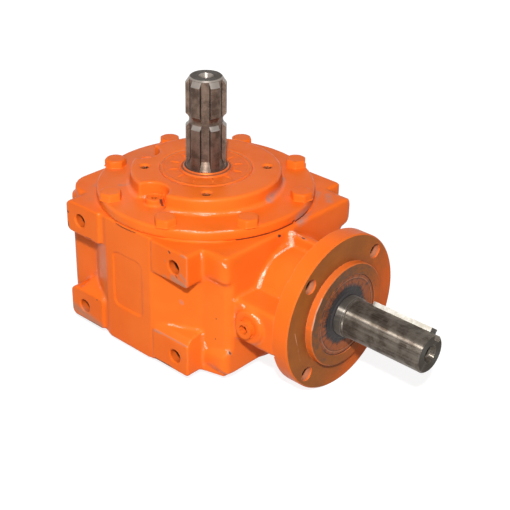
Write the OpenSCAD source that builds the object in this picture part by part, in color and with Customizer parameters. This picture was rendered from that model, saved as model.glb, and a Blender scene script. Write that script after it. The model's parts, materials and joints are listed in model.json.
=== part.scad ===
// Right-angle bevel gearbox with a splined upright input shaft and a keyed level output shaft
// Units are millimetres, Z is up, the origin is on the input axis at the underside

/* [View] */
// Name of the one part to draw, or all for the whole

/* [Housing] */
// Height of the housing joint face above the underside
body_h = 117.5; // [115:0.5:124]
// Height of the joint face above the output axis
joint_rise = 57; // [56:0.5:60]
// Half length of the housing along the output shaft
body_x = 98; // [96:0.5:106]
// Half width of the corner blocks
body_y = 78; // [76:0.5:84]
// Half width of the wall between the blocks
waist_y = 75; // [72:0.5:78]
// Distance from the input axis to the machined faces of the side bosses
boss_y = 95.5; // [94:0.5:104]
// Spacing of the tapped side holes along the output shaft
side_hole_x = 115; // [110:1:120]
// Spacing of the tapped side holes in height
side_hole_z = 85; // [80:1:86]
// Drilled size of the tapped side holes
side_hole_d = 12; // [10:0.1:16]
// Thickness of the chamber floor
floor_t = 12; // [10:0.5:14]

/* [Top cover] */
// Radius of the cover plate
cover_r = 95; // [93:0.5:98]
// Thickness of the cover plate
cover_t = 9.3; // [7:0.1:11]
// Thickness of the gasket under the cover
gasket_t = 0.5; // [0.3:0.1:1]
// Radius of the raised hub
hub_r = 65.6; // [62:0.2:68]
// Height of the hub above the plate
hub_h = 14; // [12:0.1:17]
// Width of the joint face around the gear chamber
joint_w = 19; // [18:0.5:20]
// Distance from the bolt circle to the edge of the cover plate
bolt_edge = 8; // [7:0.5:9]
// Number of cover bolts
bolt_count = 8; // [6:1:12]
// Thread size of the cover bolts
bolt_d = 10; // [8:1:10]
// Width across flats of the cover bolt heads
bolt_af = 17; // [13:1:17]
// Height of the cover bolt heads
bolt_head_h = 6.6; // [5:0.1:8]
// Radius of the circle of small tapped holes in the hub
guard_circle_r = 53; // [50:0.5:56]
// Drilled size of the small tapped holes in the hub
guard_hole_d = 6.6; // [5:0.1:8]

/* [Output neck and flange] */
// Distance from the input axis to the front face of the flange
flange_x = 155.3; // [150:0.1:160]
// Radius of the flange
flange_r = 68; // [64:0.5:72]
// Thickness of the flange
flange_t = 15; // [12:0.5:18]
// Radius of the spigot on the flange
spigot_r = 45.2; // [42:0.1:48]
// Length of the spigot in front of the flange
spigot_l = 6.3; // [4:0.1:8]
// Radius of the flange hole circle
flange_circle_r = 58; // [54:0.5:60]
// Size of the flange holes
flange_hole_d = 13; // [10:0.5:14]
// Radius of the round neck behind the flange
neck_r = 44; // [42:0.5:48]

/* [Input shaft] */
// Height of the splined shaft end above the output axis
input_top = 163.5; // [150:0.5:175]
// Diameter over the splines
spline_d = 34.9; // [33:0.1:36]
// Diameter at the bottom of the spline grooves
spline_root_d = 29; // [27:0.1:30]
// Number of splines
spline_count = 6; // [6:1:8]
// Width of one spline
spline_w = 8.6; // [7:0.1:9]
// Distance from the shaft end to the middle of the locking groove
lock_groove_z = 38; // [30:0.5:45]
// Turn of the splines about the input axis in degrees
spline_turn = -18; // [-30:1:30]

/* [Output shaft] */
// Distance from the input axis to the end of the output shaft
output_end = 244; // [235:0.5:255]
// Diameter of the keyed shaft end
output_d = 33; // [30:0.5:34.5]
// Diameter of the output shaft at the bearings and seal
output_seat_d = 35; // [35:0.5:35]
// Width of the output key
key_w = 10; // [8:0.5:10]
// Height of the output key
key_h = 8; // [7:0.5:8]
// Length of the output key
key_l = 58.5; // [45:0.5:60]
// Turn of the key from straight up towards plus Y in degrees
key_turn = 36.7; // [0:0.1:90]

/* [Gears] */
// Gap between the outer corners of the pinion teeth and the chamber wall
pinion_gap = 0.6; // [0.4:0.1:1.5]
// Number of teeth on the crown wheel
crown_teeth = 35; // [34:1:35]
// Number of teeth on the pinion
pinion_teeth = 14; // [13:1:15]
// Length of the teeth along the cone
face_w = 22; // [18:0.5:24]
// Gap between the flanks of meshing teeth
backlash = 0.3; // [0.2:0.05:0.5]

/* [Hidden] */
$fn = 64;
// Pressure angle of the teeth
press_a = 20;
// Smallest overlap used to join solids
eps = 0.01;
// Half gap between a rolling ball and its groove
ball_gap = 0.05;
// Height of the output axis above the underside
axis_h = body_h - joint_rise;
// Radii of the gear chamber and of the cover bolt circle
chamber_r = cover_r - joint_w;
bolt_circle_r = cover_r - bolt_edge;
// Length of the cover bolts below their heads
bolt_l = 29;
// Height of the side bosses and corner blocks
block_h = 30;
// How far the lower side bosses stand above the underside
boss_lift = 2.5;
// Heights of the upper and the lower corner blocks, and how far the lower ones stand above the underside
corner_h = 26;
low_corner_h = 24.5;
corner_lift = 4.5;
// Side bosses reach from the first to the second distance on the flange side
boss_x0 = 31;
boss_x1 = 73;
// Side bosses reach from the first to the second distance on the far side
far_x0 = 33.5;
far_x1 = 75.8;
// Front panel reaches from the first to the second distance, on the far side and on the flange side
panel_x0 = 27;
panel_x1 = 28;
// Extra reach of the corner blocks on the plus Y side and of the upper ones at the back
corner_more = 6;
back_more = 2;
// Height of the middle of the tapped side holes
side_hole_mid = (body_h + boss_lift - 1) / 2;
// Height of the drain plug in the back wall
drain_z = 24;
// Height of the round pads under the two oil plugs and radii of the pads
pad_h = 1.5;
box_y = flange_r - 2;
drain_pad_r = 13;
level_pad_r = 14.5;
// Directions of the two plug notches in the hub
notch_turns = [194, 270];
// Radius of a plug notch and distance of its plug from the input axis
notch_r = 15.5;
notch_plug_r = hub_r - 4.6;
// Size of the cover plug thread, length of the plug and how far it sits in the plate
notch_plug_d = 12;
notch_plug_l = 10.3;
notch_sink = 5;
// Radius and height of the boss round a cover plug, and radius and depth of the plug's socket
notch_boss_r = 8;
notch_boss_h = 6.5;
socket_r = 3.46;
socket_h = 6;
// Size of the level and drain plug thread and head, and gap left for the washer
oil_plug_d = 14;
oil_head_r = 8;
oil_head_h = 3.5;
oil_washer_t = 1;
oil_socket_r = 4.6;
// Radius of the round gear case at the underside and at the joint face
case_r0 = 97.5;
case_r1 = cover_r + 2;
// Distances from the input axis to the faces of the drain pad and of the level pad
drain_x = max(body_x, case_r0) + pad_h;
level_y = flange_r + pad_h;
// Place of the level plug on the side box of the neck
plug_x = 114.5;
plug_z = axis_h - 2;
// Cover heights
plate_z = body_h + gasket_t;
cover_z = plate_z + cover_t;
hub_z = cover_z + hub_h;
// Pitch cones, and the module that lets the gears fill the chamber, in steps of a twentieth
pinion_cone = atan(pinion_teeth / crown_teeth);
crown_cone = 90 - pinion_cone;
gear_module = round((chamber_r - pinion_gap) * cos(pinion_cone) / crown_teeth * 40) / 20;
cone_l = gear_module * crown_teeth / 2 / cos(pinion_cone);
// Addendum and dedendum factors of the pinion and of the crown wheel
pinion_add = 1.25;
crown_add = 0.75;
clear_f = 0.2;
// Tooth thickness moved from the crown wheel to the pinion
thick_shift = 0.25;
// Upper input bearing sizes and place
upper_d = 40;
upper_od = 80;
upper_w = 18;
seal_w = 10;
upper_z = hub_z - seal_w - 3 - upper_w;
// Lower input bearing sizes and place
lower_d = 35;
lower_od = 72;
lower_w = 17;
lower_z = 10;
floor_boss_r = 44;
floor_boss_z = lower_z + lower_w + 2;
// Output bearings sizes and places
out_od = 72;
out_w = 17;
inner_brg_x = chamber_r + 4.5;
outer_brg_x = 128;
ring_t = 2.5;
// Depth of the output keyway and distance from the key to the end of the shaft
key_deep = 5;
key_gap = 5.5;
seal_x = flange_x + spigot_l - seal_w;
// Radius of the thick part of the input shaft and of the shoulder under the crown wheel
input_body_r = 22;
shoulder_r = 27;
// Crown wheel seat, its height above the output axis, key and disc
crown_seat_d = 42;
crown_seat_rise = 27;
crown_key_w = 12;
crown_disc_r = 42;
crown_hub_r = 33;
crown_seat_z = axis_h + crown_seat_rise;
shim_t = 1;

// Turns a shape standing on Z so that it lies along plus X at the height of the output axis
module on_output_axis(x = 0) {
  translate([x, 0, axis_h]) rotate([0, 90, 0]) children();
}

// Ring standing on Z
module ring(r_out, r_in, h) {
  difference() {
    cylinder(r = r_out, h = h);
    translate([0, 0, -1]) cylinder(r = r_in, h = h + 2);
  }
}

// Flat rectangle with one corner radius at its low X side and another at its high X side
module rounded_plate(x0, x1, y0, y1, ra, rb) {
  translate([x0 + ra, y0]) square([x1 - x0 - ra - rb, y1 - y0]);
  translate([x0, y0 + ra]) square([ra + 1, y1 - y0 - 2 * ra]);
  translate([x1 - rb - 1, y0 + rb]) square([rb + 1, y1 - y0 - 2 * rb]);
  for (y = [y0 + ra, y1 - ra]) translate([x0 + ra, y]) circle(ra);
  for (y = [y0 + rb, y1 - rb]) translate([x1 - rb, y]) circle(rb);
}

// Blocks at the corners of one level, rounded in plan and along their lower and upper edges
module corner_level(x0, z0, high, far_r, edge_r) {
  y_high = body_y + corner_more;
  intersection() {
    translate([0, 0, z0]) linear_extrude(height = high)
      rounded_plate(x0, body_x, -body_y, y_high, far_r, 8);
    translate([x0 - 1, 0, z0]) rotate([90, 0, 90]) linear_extrude(height = body_x - x0 + 2)
      rounded_plate(-body_y, y_high, 0, high, edge_r, 11);
    translate([0, body_x, z0]) rotate([90, 0, 0]) linear_extrude(height = 2 * body_x)
      rounded_plate(x0 - 4, body_x, 0, high, 3, 3);
  }
}

// One side boss, rounded at its outer corners as seen from the side
module side_boss(side, z0) {
  depth = boss_y - 50;
  x_low = side > 0 ? boss_x0 : -far_x1;
  x_high = side > 0 ? boss_x1 : -far_x0;
  translate([0, -50, z0]) rotate([90, 0, 0]) linear_extrude(height = depth)
    rounded_plate(x_low, x_high, 0, block_h, side > 0 ? 2 : 7, side > 0 ? 3 : 2);
}

// Slope between a lower boss and the wall above it
module boss_slope(side) {
  x_low = side > 0 ? boss_x0 + 1.5 : 13 - far_x1;
  x_len = side > 0 ? boss_x1 - boss_x0 - 2 : far_x1 - far_x0 - 13;
  rise = side > 0 ? 5.5 : 3;
  translate([x_low, 0, boss_lift]) rotate([90, 0, 90]) linear_extrude(height = x_len) polygon([
    [-50, block_h - 5], [-boss_y + 0.5, block_h - 5], [-boss_y + 0.5, block_h - 0.5],
    [-boss_y + 4.5, block_h + rise], [-waist_y, block_h + 9], [-50, block_h + 9]
  ]);
}

// Bosses, strips, slopes and front panel of one side of the housing
module housing_side() {
  upper_z0 = body_h - block_h;
  for (side = [-1, 1]) {
    side_boss(side, boss_lift);
    side_boss(side, upper_z0);
    boss_slope(side);
  }
  for (z0 = [boss_lift + 1, upper_z0 + 1]) translate([-far_x0 - 1, -boss_y + 2, z0])
    cube([far_x0 - panel_x0 + 2, 30, block_h - 2]);
  translate([0, 0, 1]) linear_extrude(height = body_h - 1) polygon([
    [-panel_x0, -50], [-panel_x0, -boss_y + 1], [panel_x1, -boss_y + 1], [boss_x1, -body_y + 0.5],
    [body_x - 5, -waist_y + 2.5], [body_x - 5, -50]
  ]);
}

// Round neck with its side boxes and thin ribs, flange and spigot
module neck() {
  neck_x0 = body_x - 14;
  back_x = flange_x - flange_t;
  on_output_axis(neck_x0) cylinder(r = neck_r, h = back_x - neck_x0 + 2);
  on_output_axis(back_x) cylinder(r = flange_r, h = flange_t - 1);
  on_output_axis(flange_x - 1) cylinder(r1 = flange_r, r2 = flange_r - 1, h = 1);
  on_output_axis(flange_x - 1) cylinder(r = spigot_r, h = spigot_l + 0.4);
  on_output_axis(flange_x + spigot_l - 0.6) cylinder(r1 = spigot_r, r2 = spigot_r - 0.6, h = 0.6);
  translate([neck_x0, 0, axis_h - 21]) rotate([90, 0, 90]) linear_extrude(height = back_x - neck_x0 + 1)
    rounded_plate(-box_y, box_y, 0, 38, 4, 4);
  translate([neck_x0, -4, axis_h - neck_r - 9]) cube([back_x - neck_x0 + 1, 8, 2 * neck_r + 19]);
}

// Round gear case, flattened where the front panel lies
module round_case() {
  difference() {
    cylinder(r1 = case_r0, r2 = case_r1, h = body_h);
    for (side = [0, 180]) rotate([0, 0, side]) translate([-boss_x0, boss_y - 1.05, -1])
      cube([2 * boss_x0, case_r0, body_h + 2]);
  }
}

// Groove for an internal ring, cut from a bore
module ring_groove(od, w = 2.5) {
  cylinder(r = od / 2 + 1.5, h = w);
}

// Cast housing with neck and flange in one piece
module housing() {
  color([0.93, 0.36, 0.05]) difference() {
    union() {
      corner_level(0, corner_lift, low_corner_h, 4, 10);
      corner_level(-body_x - back_more, body_h - corner_h, corner_h, 26, 5);
      translate([0, 0, corner_lift + 1]) linear_extrude(height = body_h - corner_lift - 6)
        rounded_plate(-body_x + 20, body_x, -waist_y + 3.5, waist_y - 3.5, 14, 6);
      translate([0, 0, 2]) linear_extrude(height = body_h - 10)
        rounded_plate(-body_x, -20, -waist_y, waist_y, 9, 2);
      round_case();
      housing_side();
      mirror([0, 1, 0]) housing_side();
      neck();
      translate([plug_x, -level_y, plug_z]) rotate([-90, 0, 0])
        cylinder(r1 = level_pad_r, r2 = level_pad_r + 1, h = level_y - box_y + 3);
      translate([-drain_x, 0, drain_z]) rotate([0, 90, 0])
        cylinder(r = drain_pad_r, h = drain_x - chamber_r - 10);
    }
    difference() {
      translate([0, 0, floor_t]) cylinder(r = chamber_r, h = body_h);
      cylinder(r = floor_boss_r, h = floor_boss_z);
    }
    // Lower bearing bore, ring groove and lip
    translate([0, 0, -1]) cylinder(r = lower_od / 2, h = lower_z + lower_w + 1);
    cylinder(r = lower_od / 2 - 4, h = floor_boss_z + 1);
    translate([0, 0, lower_z - ring_t]) ring_groove(lower_od);
    // Output bore with two ring grooves
    on_output_axis(chamber_r - 20) cylinder(r = out_od / 2, h = flange_x);
    on_output_axis(inner_brg_x - ring_t) ring_groove(out_od);
    on_output_axis(outer_brg_x + out_w) ring_groove(out_od);
    // Tapped cover holes
    for (i = [0 : bolt_count - 1]) rotate([0, 0, (i + 0.5) * 360 / bolt_count])
      translate([bolt_circle_r, 0, body_h - 24]) cylinder(d = bolt_d, h = 30);
    // Tapped side holes
    for (sx = [-1, 1]) for (sz = [-1, 1]) for (sy = [-1, 1])
      translate([sx * side_hole_x / 2, sy * (boss_y + 1), side_hole_mid + sz * side_hole_z / 2])
        rotate([90 * sy, 0, 0]) cylinder(d = side_hole_d, h = 20);
    // Flange holes
    for (a = [45 : 90 : 315]) on_output_axis(flange_x - flange_t - 5) rotate([0, 0, a])
      translate([flange_circle_r, 0, 0]) cylinder(d = flange_hole_d, h = flange_t + 10);
    // Spot faces behind the flange holes
    for (a = [45 : 90 : 315]) on_output_axis(flange_x - flange_t - 12) rotate([0, 0, a])
      translate([flange_circle_r, 0, 0]) cylinder(d = flange_hole_d + 9, h = 12.6);
    // Shallow blank recess in the front panel
    translate([0, -boss_y - 0.2, axis_h + 2]) rotate([-90, 0, 0]) linear_extrude(height = 2.4)
      rounded_plate(-17.5, 17.5, -26, 26, 6, 6);
    // Level plug hole and drain hole
    translate([plug_x, -level_y - 1, plug_z]) rotate([-90, 0, 0]) cylinder(d = oil_plug_d, h = 20);
    translate([-drain_x - 1, 0, drain_z]) rotate([0, 90, 0])
      cylinder(d = oil_plug_d, h = drain_x - chamber_r + 8);
  }
}

// Round plate with raised hub, seal bore and two notched plug bosses
module top_cover() {
  color([0.95, 0.38, 0.06]) difference() {
    union() {
      difference() {
        rotate_extrude() polygon([
          [upper_od / 2 - 5, plate_z - 6.5], [chamber_r - 0.1, plate_z - 6.5], [chamber_r - 0.1, plate_z],
          [cover_r, plate_z], [cover_r, cover_z - 1.5], [cover_r - 1.5, cover_z],
          [hub_r + 3, cover_z], [hub_r + 0.9, cover_z + 0.9], [hub_r, cover_z + 3],
          [hub_r, hub_z - 1.5], [hub_r - 1.5, hub_z], [upper_od / 2 - 5, hub_z]
        ]);
        for (a = notch_turns) rotate([0, 0, a]) translate([hub_r + 0.4, 0, cover_z])
          cylinder(r = notch_r, h = hub_h + 1);
      }
      for (a = notch_turns) rotate([0, 0, a]) translate([notch_plug_r, 0, cover_z - 1])
        cylinder(r = notch_boss_r, h = notch_boss_h + 1);
      translate([0, 0, upper_z - 2.5]) ring(upper_od / 2 + 12, upper_od / 2 - 5, 12);
    }
    translate([0, 0, upper_z]) cylinder(r = upper_od / 2, h = hub_z);
    translate([0, 0, upper_z + upper_w]) ring_groove(upper_od);
    for (i = [0 : bolt_count - 1]) rotate([0, 0, (i + 0.5) * 360 / bolt_count])
      translate([bolt_circle_r, 0, plate_z - 1]) cylinder(d = bolt_d + 1, h = cover_t + 2);
    for (a = [45 : 90 : 315]) rotate([0, 0, a]) translate([guard_circle_r, 0, hub_z - 11])
      cylinder(d = guard_hole_d, h = 12);
    for (a = notch_turns) rotate([0, 0, a]) translate([notch_plug_r, 0, plate_z - 10])
      cylinder(d = notch_plug_d, h = cover_t + hub_h + 16);
  }
}

// Flat gasket between cover and housing
module cover_gasket() {
  color([0.16, 0.15, 0.14]) difference() {
    translate([0, 0, body_h]) ring(cover_r - 0.5, chamber_r, gasket_t);
    for (i = [0 : bolt_count - 1]) rotate([0, 0, (i + 0.5) * 360 / bolt_count])
      translate([bolt_circle_r, 0, body_h - 1]) cylinder(d = bolt_d + 1, h = 3);
  }
}

// Hexagon head bolts that hold the cover
module cover_bolts() {
  head_r = bolt_af / 2 / cos(30);
  color([0.93, 0.38, 0.08]) for (i = [0 : bolt_count - 1]) rotate([0, 0, (i + 0.5) * 360 / bolt_count])
    translate([bolt_circle_r, 0, cover_z]) {
      intersection() {
        rotate([0, 0, 12 * i + 5]) cylinder(r = head_r, h = bolt_head_h, $fn = 6);
        cylinder(r1 = head_r + bolt_head_h * 2 - 0.4, r2 = head_r - 0.9, h = bolt_head_h);
      }
      translate([0, 0, -bolt_l]) cylinder(d = bolt_d - 0.1, h = bolt_l + eps);
    }
}

// Socket plugs in the two notches of the cover
module cover_plugs() {
  color([0.28, 0.25, 0.23]) for (a = notch_turns)
    rotate([0, 0, a]) translate([notch_plug_r, 0, cover_z - notch_sink]) difference() {
      cylinder(d = notch_plug_d, h = notch_plug_l);
      translate([0, 0, notch_plug_l - socket_h]) cylinder(r = socket_r, h = socket_h + 1, $fn = 6);
    }
}

// Pressed cap that closes the lower bearing bore, flush with the underside
module bottom_cap() {
  color([0.93, 0.36, 0.05]) difference() {
    cylinder(r = lower_od / 2, h = lower_z - ring_t);
    translate([0, 0, 4]) cylinder(r = lower_od / 2 - 5, h = lower_z);
  }
}

// Flanged screw plug with a hexagon socket, its head towards minus Z
module screw_plug() {
  difference() {
    union() {
      cylinder(r = oil_head_r, h = oil_head_h);
      cylinder(d = oil_plug_d, h = 14);
    }
    translate([0, 0, -1]) cylinder(r = oil_socket_r, h = socket_h, $fn = 6);
  }
}

// Level plug on the side of the neck
module level_plug() {
  color([0.93, 0.36, 0.05]) translate([plug_x, -level_y - oil_washer_t - oil_head_h, plug_z])
    rotate([-90, 0, 0]) screw_plug();
}

// Sealing washer under the level plug
module level_washer() {
  color([0.72, 0.42, 0.2]) translate([plug_x, -level_y - oil_washer_t, plug_z])
    rotate([-90, 0, 0]) ring(oil_head_r + 1, oil_plug_d / 2, oil_washer_t);
}

// Drain plug low on the back wall
module drain_plug() {
  color([0.93, 0.36, 0.05]) translate([-drain_x - oil_washer_t - oil_head_h, 0, drain_z])
    rotate([0, 90, 0]) screw_plug();
}

// Sealing washer under the drain plug
module drain_washer() {
  color([0.72, 0.42, 0.2]) translate([-drain_x - oil_washer_t, 0, drain_z])
    rotate([0, 90, 0]) ring(oil_head_r + 1, oil_plug_d / 2, oil_washer_t);
}

// Upright shaft with six splines, locking groove, bearing seats and crown wheel seat
module input_shaft() {
  top_z = axis_h + input_top;
  seat_top = hub_z + 2;
  groove_z = top_z - lock_groove_z;
  color([0.32, 0.29, 0.27]) difference() {
    union() {
      rotate_extrude() polygon([
        [0, lower_z + 0.5], [lower_d / 2 - 1, lower_z - 1.5], [lower_d / 2, lower_z - 0.5],
        [lower_d / 2, lower_z + lower_w], [input_body_r, lower_z + lower_w],
        [input_body_r, crown_seat_z - 7], [shoulder_r, crown_seat_z - 6], [shoulder_r, crown_seat_z],
        [crown_seat_d / 2, crown_seat_z], [crown_seat_d / 2, upper_z - shim_t - 2],
        [upper_d / 2, upper_z - shim_t], [upper_d / 2, seat_top - 1], [upper_d / 2 - 1, seat_top],
        [spline_d / 2, seat_top], [spline_root_d / 2, seat_top + 8],
        [spline_root_d / 2, top_z - 1.2], [spline_root_d / 2 - 1.2, top_z], [0, top_z]
      ]);
      intersection() {
        translate([0, 0, seat_top - 1]) linear_extrude(height = top_z - seat_top + 1)
          for (i = [0 : spline_count - 1]) rotate(spline_turn + i * 360 / spline_count)
            translate([0, -spline_w / 2]) square([spline_d / 2 + 2, spline_w]);
        rotate_extrude() polygon([
          [0, seat_top - 2], [spline_d / 2, seat_top - 2], [spline_d / 2, top_z - 5.9],
          [spline_d / 2 - 4, top_z], [0, top_z]
        ]);
      }
    }
    // Locking groove cut into the splines
    rotate_extrude() translate([21.2, groove_z]) circle(6.8);
    // Centre hole
    translate([0, 0, top_z - 12]) cylinder(r = 3, h = 13);
    translate([0, 0, top_z - 5]) cylinder(r1 = 3, r2 = 6.2, h = 5 + eps);
    // Keyway for the crown wheel
    translate([crown_seat_d / 2 - 5, -crown_key_w / 2, crown_seat_z])
      cube([6, crown_key_w, upper_z - shim_t - crown_seat_z - 2]);
    // Ring groove above the upper bearing
    translate([0, 0, upper_z + upper_w]) ring(upper_d / 2 + 1, upper_d / 2 - 1.25, 1.85);
  }
}

// Direction on the unit sphere for polar angle t and turn p
function on_sphere(t, p) = [sin(t) * cos(p), sin(t) * sin(p), cos(t)];

// Turn of the spherical involute at polar angle t for a base cone angle b
function involute_turn(t, b) = t <= b ? 0 : acos(cos(t) / cos(b)) / sin(b) - acos(tan(b) / tan(t));

// Directions along one tooth from root to tip and back, centred on turn zero
function tooth_side(cone, base, t_root, t_tip, half, steps) =
  [for (i = [0 : steps]) let (t = max(t_root, base) + (t_tip - max(t_root, base)) * i / steps)
    [t, half + involute_turn(cone, base) - involute_turn(t, base)]];

// Loop of directions around a whole gear
function gear_loop(cone, teeth, t_root, t_tip, half, steps) =
  let (base = asin(sin(cone) * cos(press_a)), side = tooth_side(cone, base, t_root, t_tip, half, steps),
    foot = side[0][1] + 0.02)
  [for (k = [0 : teeth - 1]) let (turn = k * 360 / teeth) each concat(
    [[t_root, turn - foot - (360 / teeth - 2 * foot) * 0.22]],
    [[t_root, turn - foot]],
    [for (i = [0 : steps]) [side[i][0], turn - side[i][1]]],
    [for (i = [0 : steps]) [side[steps - i][0], turn + side[steps - i][1]]],
    [[t_root, turn + foot]]
  )];

// Ring of bevel teeth as one closed surface with its pitch apex at the origin and its axis on Z
module bevel_teeth(cone, teeth, add_f, ded_f, thick_f, front_t, back_t, core_r) {
  t_tip = cone + add_f * gear_module / cone_l * 180 / PI;
  t_root = cone - ded_f * gear_module / cone_l * 180 / PI;
  thicker = thick_f * gear_module * tan(press_a) - backlash / 4;
  half = 90 / teeth + thicker / (gear_module * teeth / 2) * 180 / PI;
  loop = gear_loop(cone, teeth, t_root, t_tip, half, 4);
  n = len(loop);
  inner_l = cone_l - face_w;
  outer_pts = [for (p = loop) cone_l * on_sphere(p[0], p[1])];
  inner_pts = [for (p = loop) inner_l * on_sphere(p[0], p[1])];
  z_out = cone_l * cos(t_root) + back_t;
  z_in = inner_l * cos(t_root) + front_t;
  core_out = [for (p = loop) [core_r * cos(p[1]), core_r * sin(p[1]), z_out]];
  core_in = [for (p = loop) [core_r * cos(p[1]), core_r * sin(p[1]), z_in]];
  faces = [for (i = [0 : n - 1]) let (j = (i + 1) % n) each [
    [i, n + j, n + i], [i, j, n + j],
    [n + i, 2 * n + j, 2 * n + i], [n + i, n + j, 2 * n + j],
    [2 * n + i, 3 * n + j, 3 * n + i], [2 * n + i, 2 * n + j, 3 * n + j],
    [3 * n + i, j, i], [3 * n + i, 3 * n + j, j]
  ]];
  polyhedron(points = concat(outer_pts, inner_pts, core_in, core_out), faces = faces);
}

// Crown wheel with straight bevel teeth facing down and a keyed hub
module crown_wheel() {
  hub_top = upper_z - shim_t;
  color([0.5, 0.49, 0.47]) {
    translate([0, 0, axis_h]) rotate([0, 0, 180 / crown_teeth])
      bevel_teeth(crown_cone, crown_teeth, crown_add, pinion_add + clear_f, -thick_shift,
        2, 8, crown_disc_r - 4);
    difference() {
      union() {
        translate([0, 0, crown_seat_z]) cylinder(r = crown_hub_r, h = hub_top - crown_seat_z);
        translate([0, 0, crown_seat_z + 1.5]) cylinder(r = crown_disc_r, h = 10);
      }
      translate([0, 0, crown_seat_z - 1]) cylinder(r = crown_seat_d / 2, h = hub_top);
      translate([0, -crown_key_w / 2, crown_seat_z - 1]) cube([crown_seat_d / 2 + 3.3, crown_key_w, hub_top]);
    }
  }
}

// Key between the input shaft and the crown wheel
module crown_key() {
  color([0.6, 0.58, 0.55]) translate([crown_seat_d / 2 - 5, -crown_key_w / 2, crown_seat_z + 0.5])
    cube([8, crown_key_w, upper_z - shim_t - crown_seat_z - 4]);
}

// Shims between the crown wheel hub and the upper bearing
module crown_shims() {
  color([0.66, 0.65, 0.62]) translate([0, 0, upper_z - shim_t]) ring(shoulder_r - 1, upper_d / 2, shim_t);
}

// Rubber covered shaft seal with a dished face
module shaft_seal(d, od, w) {
  rotate_extrude() difference() {
    translate([d / 2 + 0.06, 0]) square([(od - d) / 2 - 0.06, w]);
    translate([d / 2 + 3.5, -1]) square([(od - d) / 2 - 7, w - 1.5]);
    translate([d / 2 + 4, w - 0.8]) square([(od - d) / 2 - 8.5, 2]);
  }
}

// Input shaft seal flush with the hub top
module input_seal() {
  color([0.85, 0.36, 0.1]) translate([0, 0, hub_z - seal_w]) shaft_seal(upper_d, upper_od, seal_w);
}

// Output shaft seal flush with the spigot
module output_seal() {
  color([0.2, 0.19, 0.18]) on_output_axis(seal_x) shaft_seal(output_seat_d, out_od, seal_w);
}

// Internal retaining ring with two eyes
module internal_circlip(od, w) {
  difference() {
    union() {
      difference() {
        ring(od / 2 + 1.4, od / 2 - 3, w);
        rotate([0, 0, -11]) translate([0, 0, -1]) cube([od, od * sin(11), w + 2]);
      }
      for (a = [-15, 15]) rotate([0, 0, a]) translate([od / 2 - 4.2, 0, 0]) cylinder(r = 3.4, h = w);
    }
    for (a = [-15, 15]) rotate([0, 0, a]) translate([od / 2 - 4.2, 0, -1]) cylinder(r = 1.4, h = w + 2);
  }
}

// External retaining ring with two eyes
module external_circlip(d, w) {
  difference() {
    union() {
      difference() {
        ring(d / 2 + 2.6, d / 2 - 1.15, w);
        rotate([0, 0, -14]) translate([0, 0, -1]) cube([d, d * sin(14), w + 2]);
      }
      for (a = [-24, 24]) rotate([0, 0, a]) translate([d / 2 + 3, 0, 0]) cylinder(r = 2.6, h = w);
    }
    for (a = [-24, 24]) rotate([0, 0, a]) translate([d / 2 + 3, 0, -1]) cylinder(r = 1.1, h = w + 2);
  }
}

// Ring that holds the upper bearing in the cover
module cover_circlip() {
  color([0.25, 0.25, 0.26]) translate([0, 0, upper_z + upper_w]) internal_circlip(upper_od, ring_t);
}

// Ring on the input shaft above the upper bearing
module input_circlip() {
  color([0.25, 0.25, 0.26]) translate([0, 0, upper_z + upper_w]) external_circlip(upper_d, 1.75);
}

// Plain ring on the foot of the input shaft below the lower bearing
module foot_circlip() {
  color([0.25, 0.25, 0.26]) translate([0, 0, lower_z - 1.4]) ring(lower_d / 2 + 3, lower_d / 2, 1.4);
}

// Ring that holds the lower bearing in the housing
module bottom_circlip() {
  color([0.25, 0.25, 0.26]) translate([0, 0, lower_z - ring_t]) rotate([0, 0, 40])
    internal_circlip(lower_od, ring_t);
}

// Two rings in the output bore, one on each side of the bearings
module neck_circlips() {
  color([0.25, 0.25, 0.26]) {
    on_output_axis(inner_brg_x - ring_t) internal_circlip(out_od, ring_t);
    on_output_axis(outer_brg_x + out_w) internal_circlip(out_od, ring_t);
  }
}

// Ring on the output shaft outside the outboard bearing
module output_circlip() {
  color([0.25, 0.25, 0.26]) on_output_axis(outer_brg_x + out_w) external_circlip(output_seat_d, 1.5);
}

// Outer ring of a ball bearing standing on Z
module bearing_outer(d, od, w) {
  ball_r = (od - d) * 0.15;
  pitch_r = (od + d) / 4;
  rotate_extrude() difference() {
    translate([pitch_r + 0.62 * ball_r, 0]) square([od / 2 - pitch_r - 0.62 * ball_r, w]);
    translate([pitch_r, w / 2]) circle(ball_r + ball_gap);
  }
}

// Inner ring of a ball bearing standing on Z
module bearing_inner(d, od, w) {
  ball_r = (od - d) * 0.15;
  pitch_r = (od + d) / 4;
  rotate_extrude() difference() {
    translate([d / 2, 0]) square([pitch_r - 0.62 * ball_r - d / 2, w]);
    translate([pitch_r, w / 2]) circle(ball_r + ball_gap);
  }
}

// Balls of a bearing
module bearing_balls(d, od, w) {
  for (i = [0 : 8]) rotate([0, 0, i * 40]) translate([(od + d) / 4, 0, w / 2]) sphere((od - d) * 0.15);
}

// Cage that spaces the balls
module bearing_cage(d, od, w) {
  ball_r = (od - d) * 0.15;
  pitch_r = (od + d) / 4;
  difference() {
    translate([0, 0, w / 2 - ball_r - 1]) ring(pitch_r + 1.5, pitch_r - 1.5, 2 * ball_r + 2);
    for (i = [0 : 8]) rotate([0, 0, i * 40]) translate([pitch_r - 4, 0, w / 2]) rotate([0, 90, 0])
      cylinder(r = ball_r + ball_gap, h = 8);
  }
}

// Outer ring of the upper input bearing
module upper_bearing_outer() {
  color([0.7, 0.7, 0.7]) translate([0, 0, upper_z]) bearing_outer(upper_d, upper_od, upper_w);
}

// Inner ring of the upper input bearing
module upper_bearing_inner() {
  color([0.7, 0.7, 0.7]) translate([0, 0, upper_z]) bearing_inner(upper_d, upper_od, upper_w);
}

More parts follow.
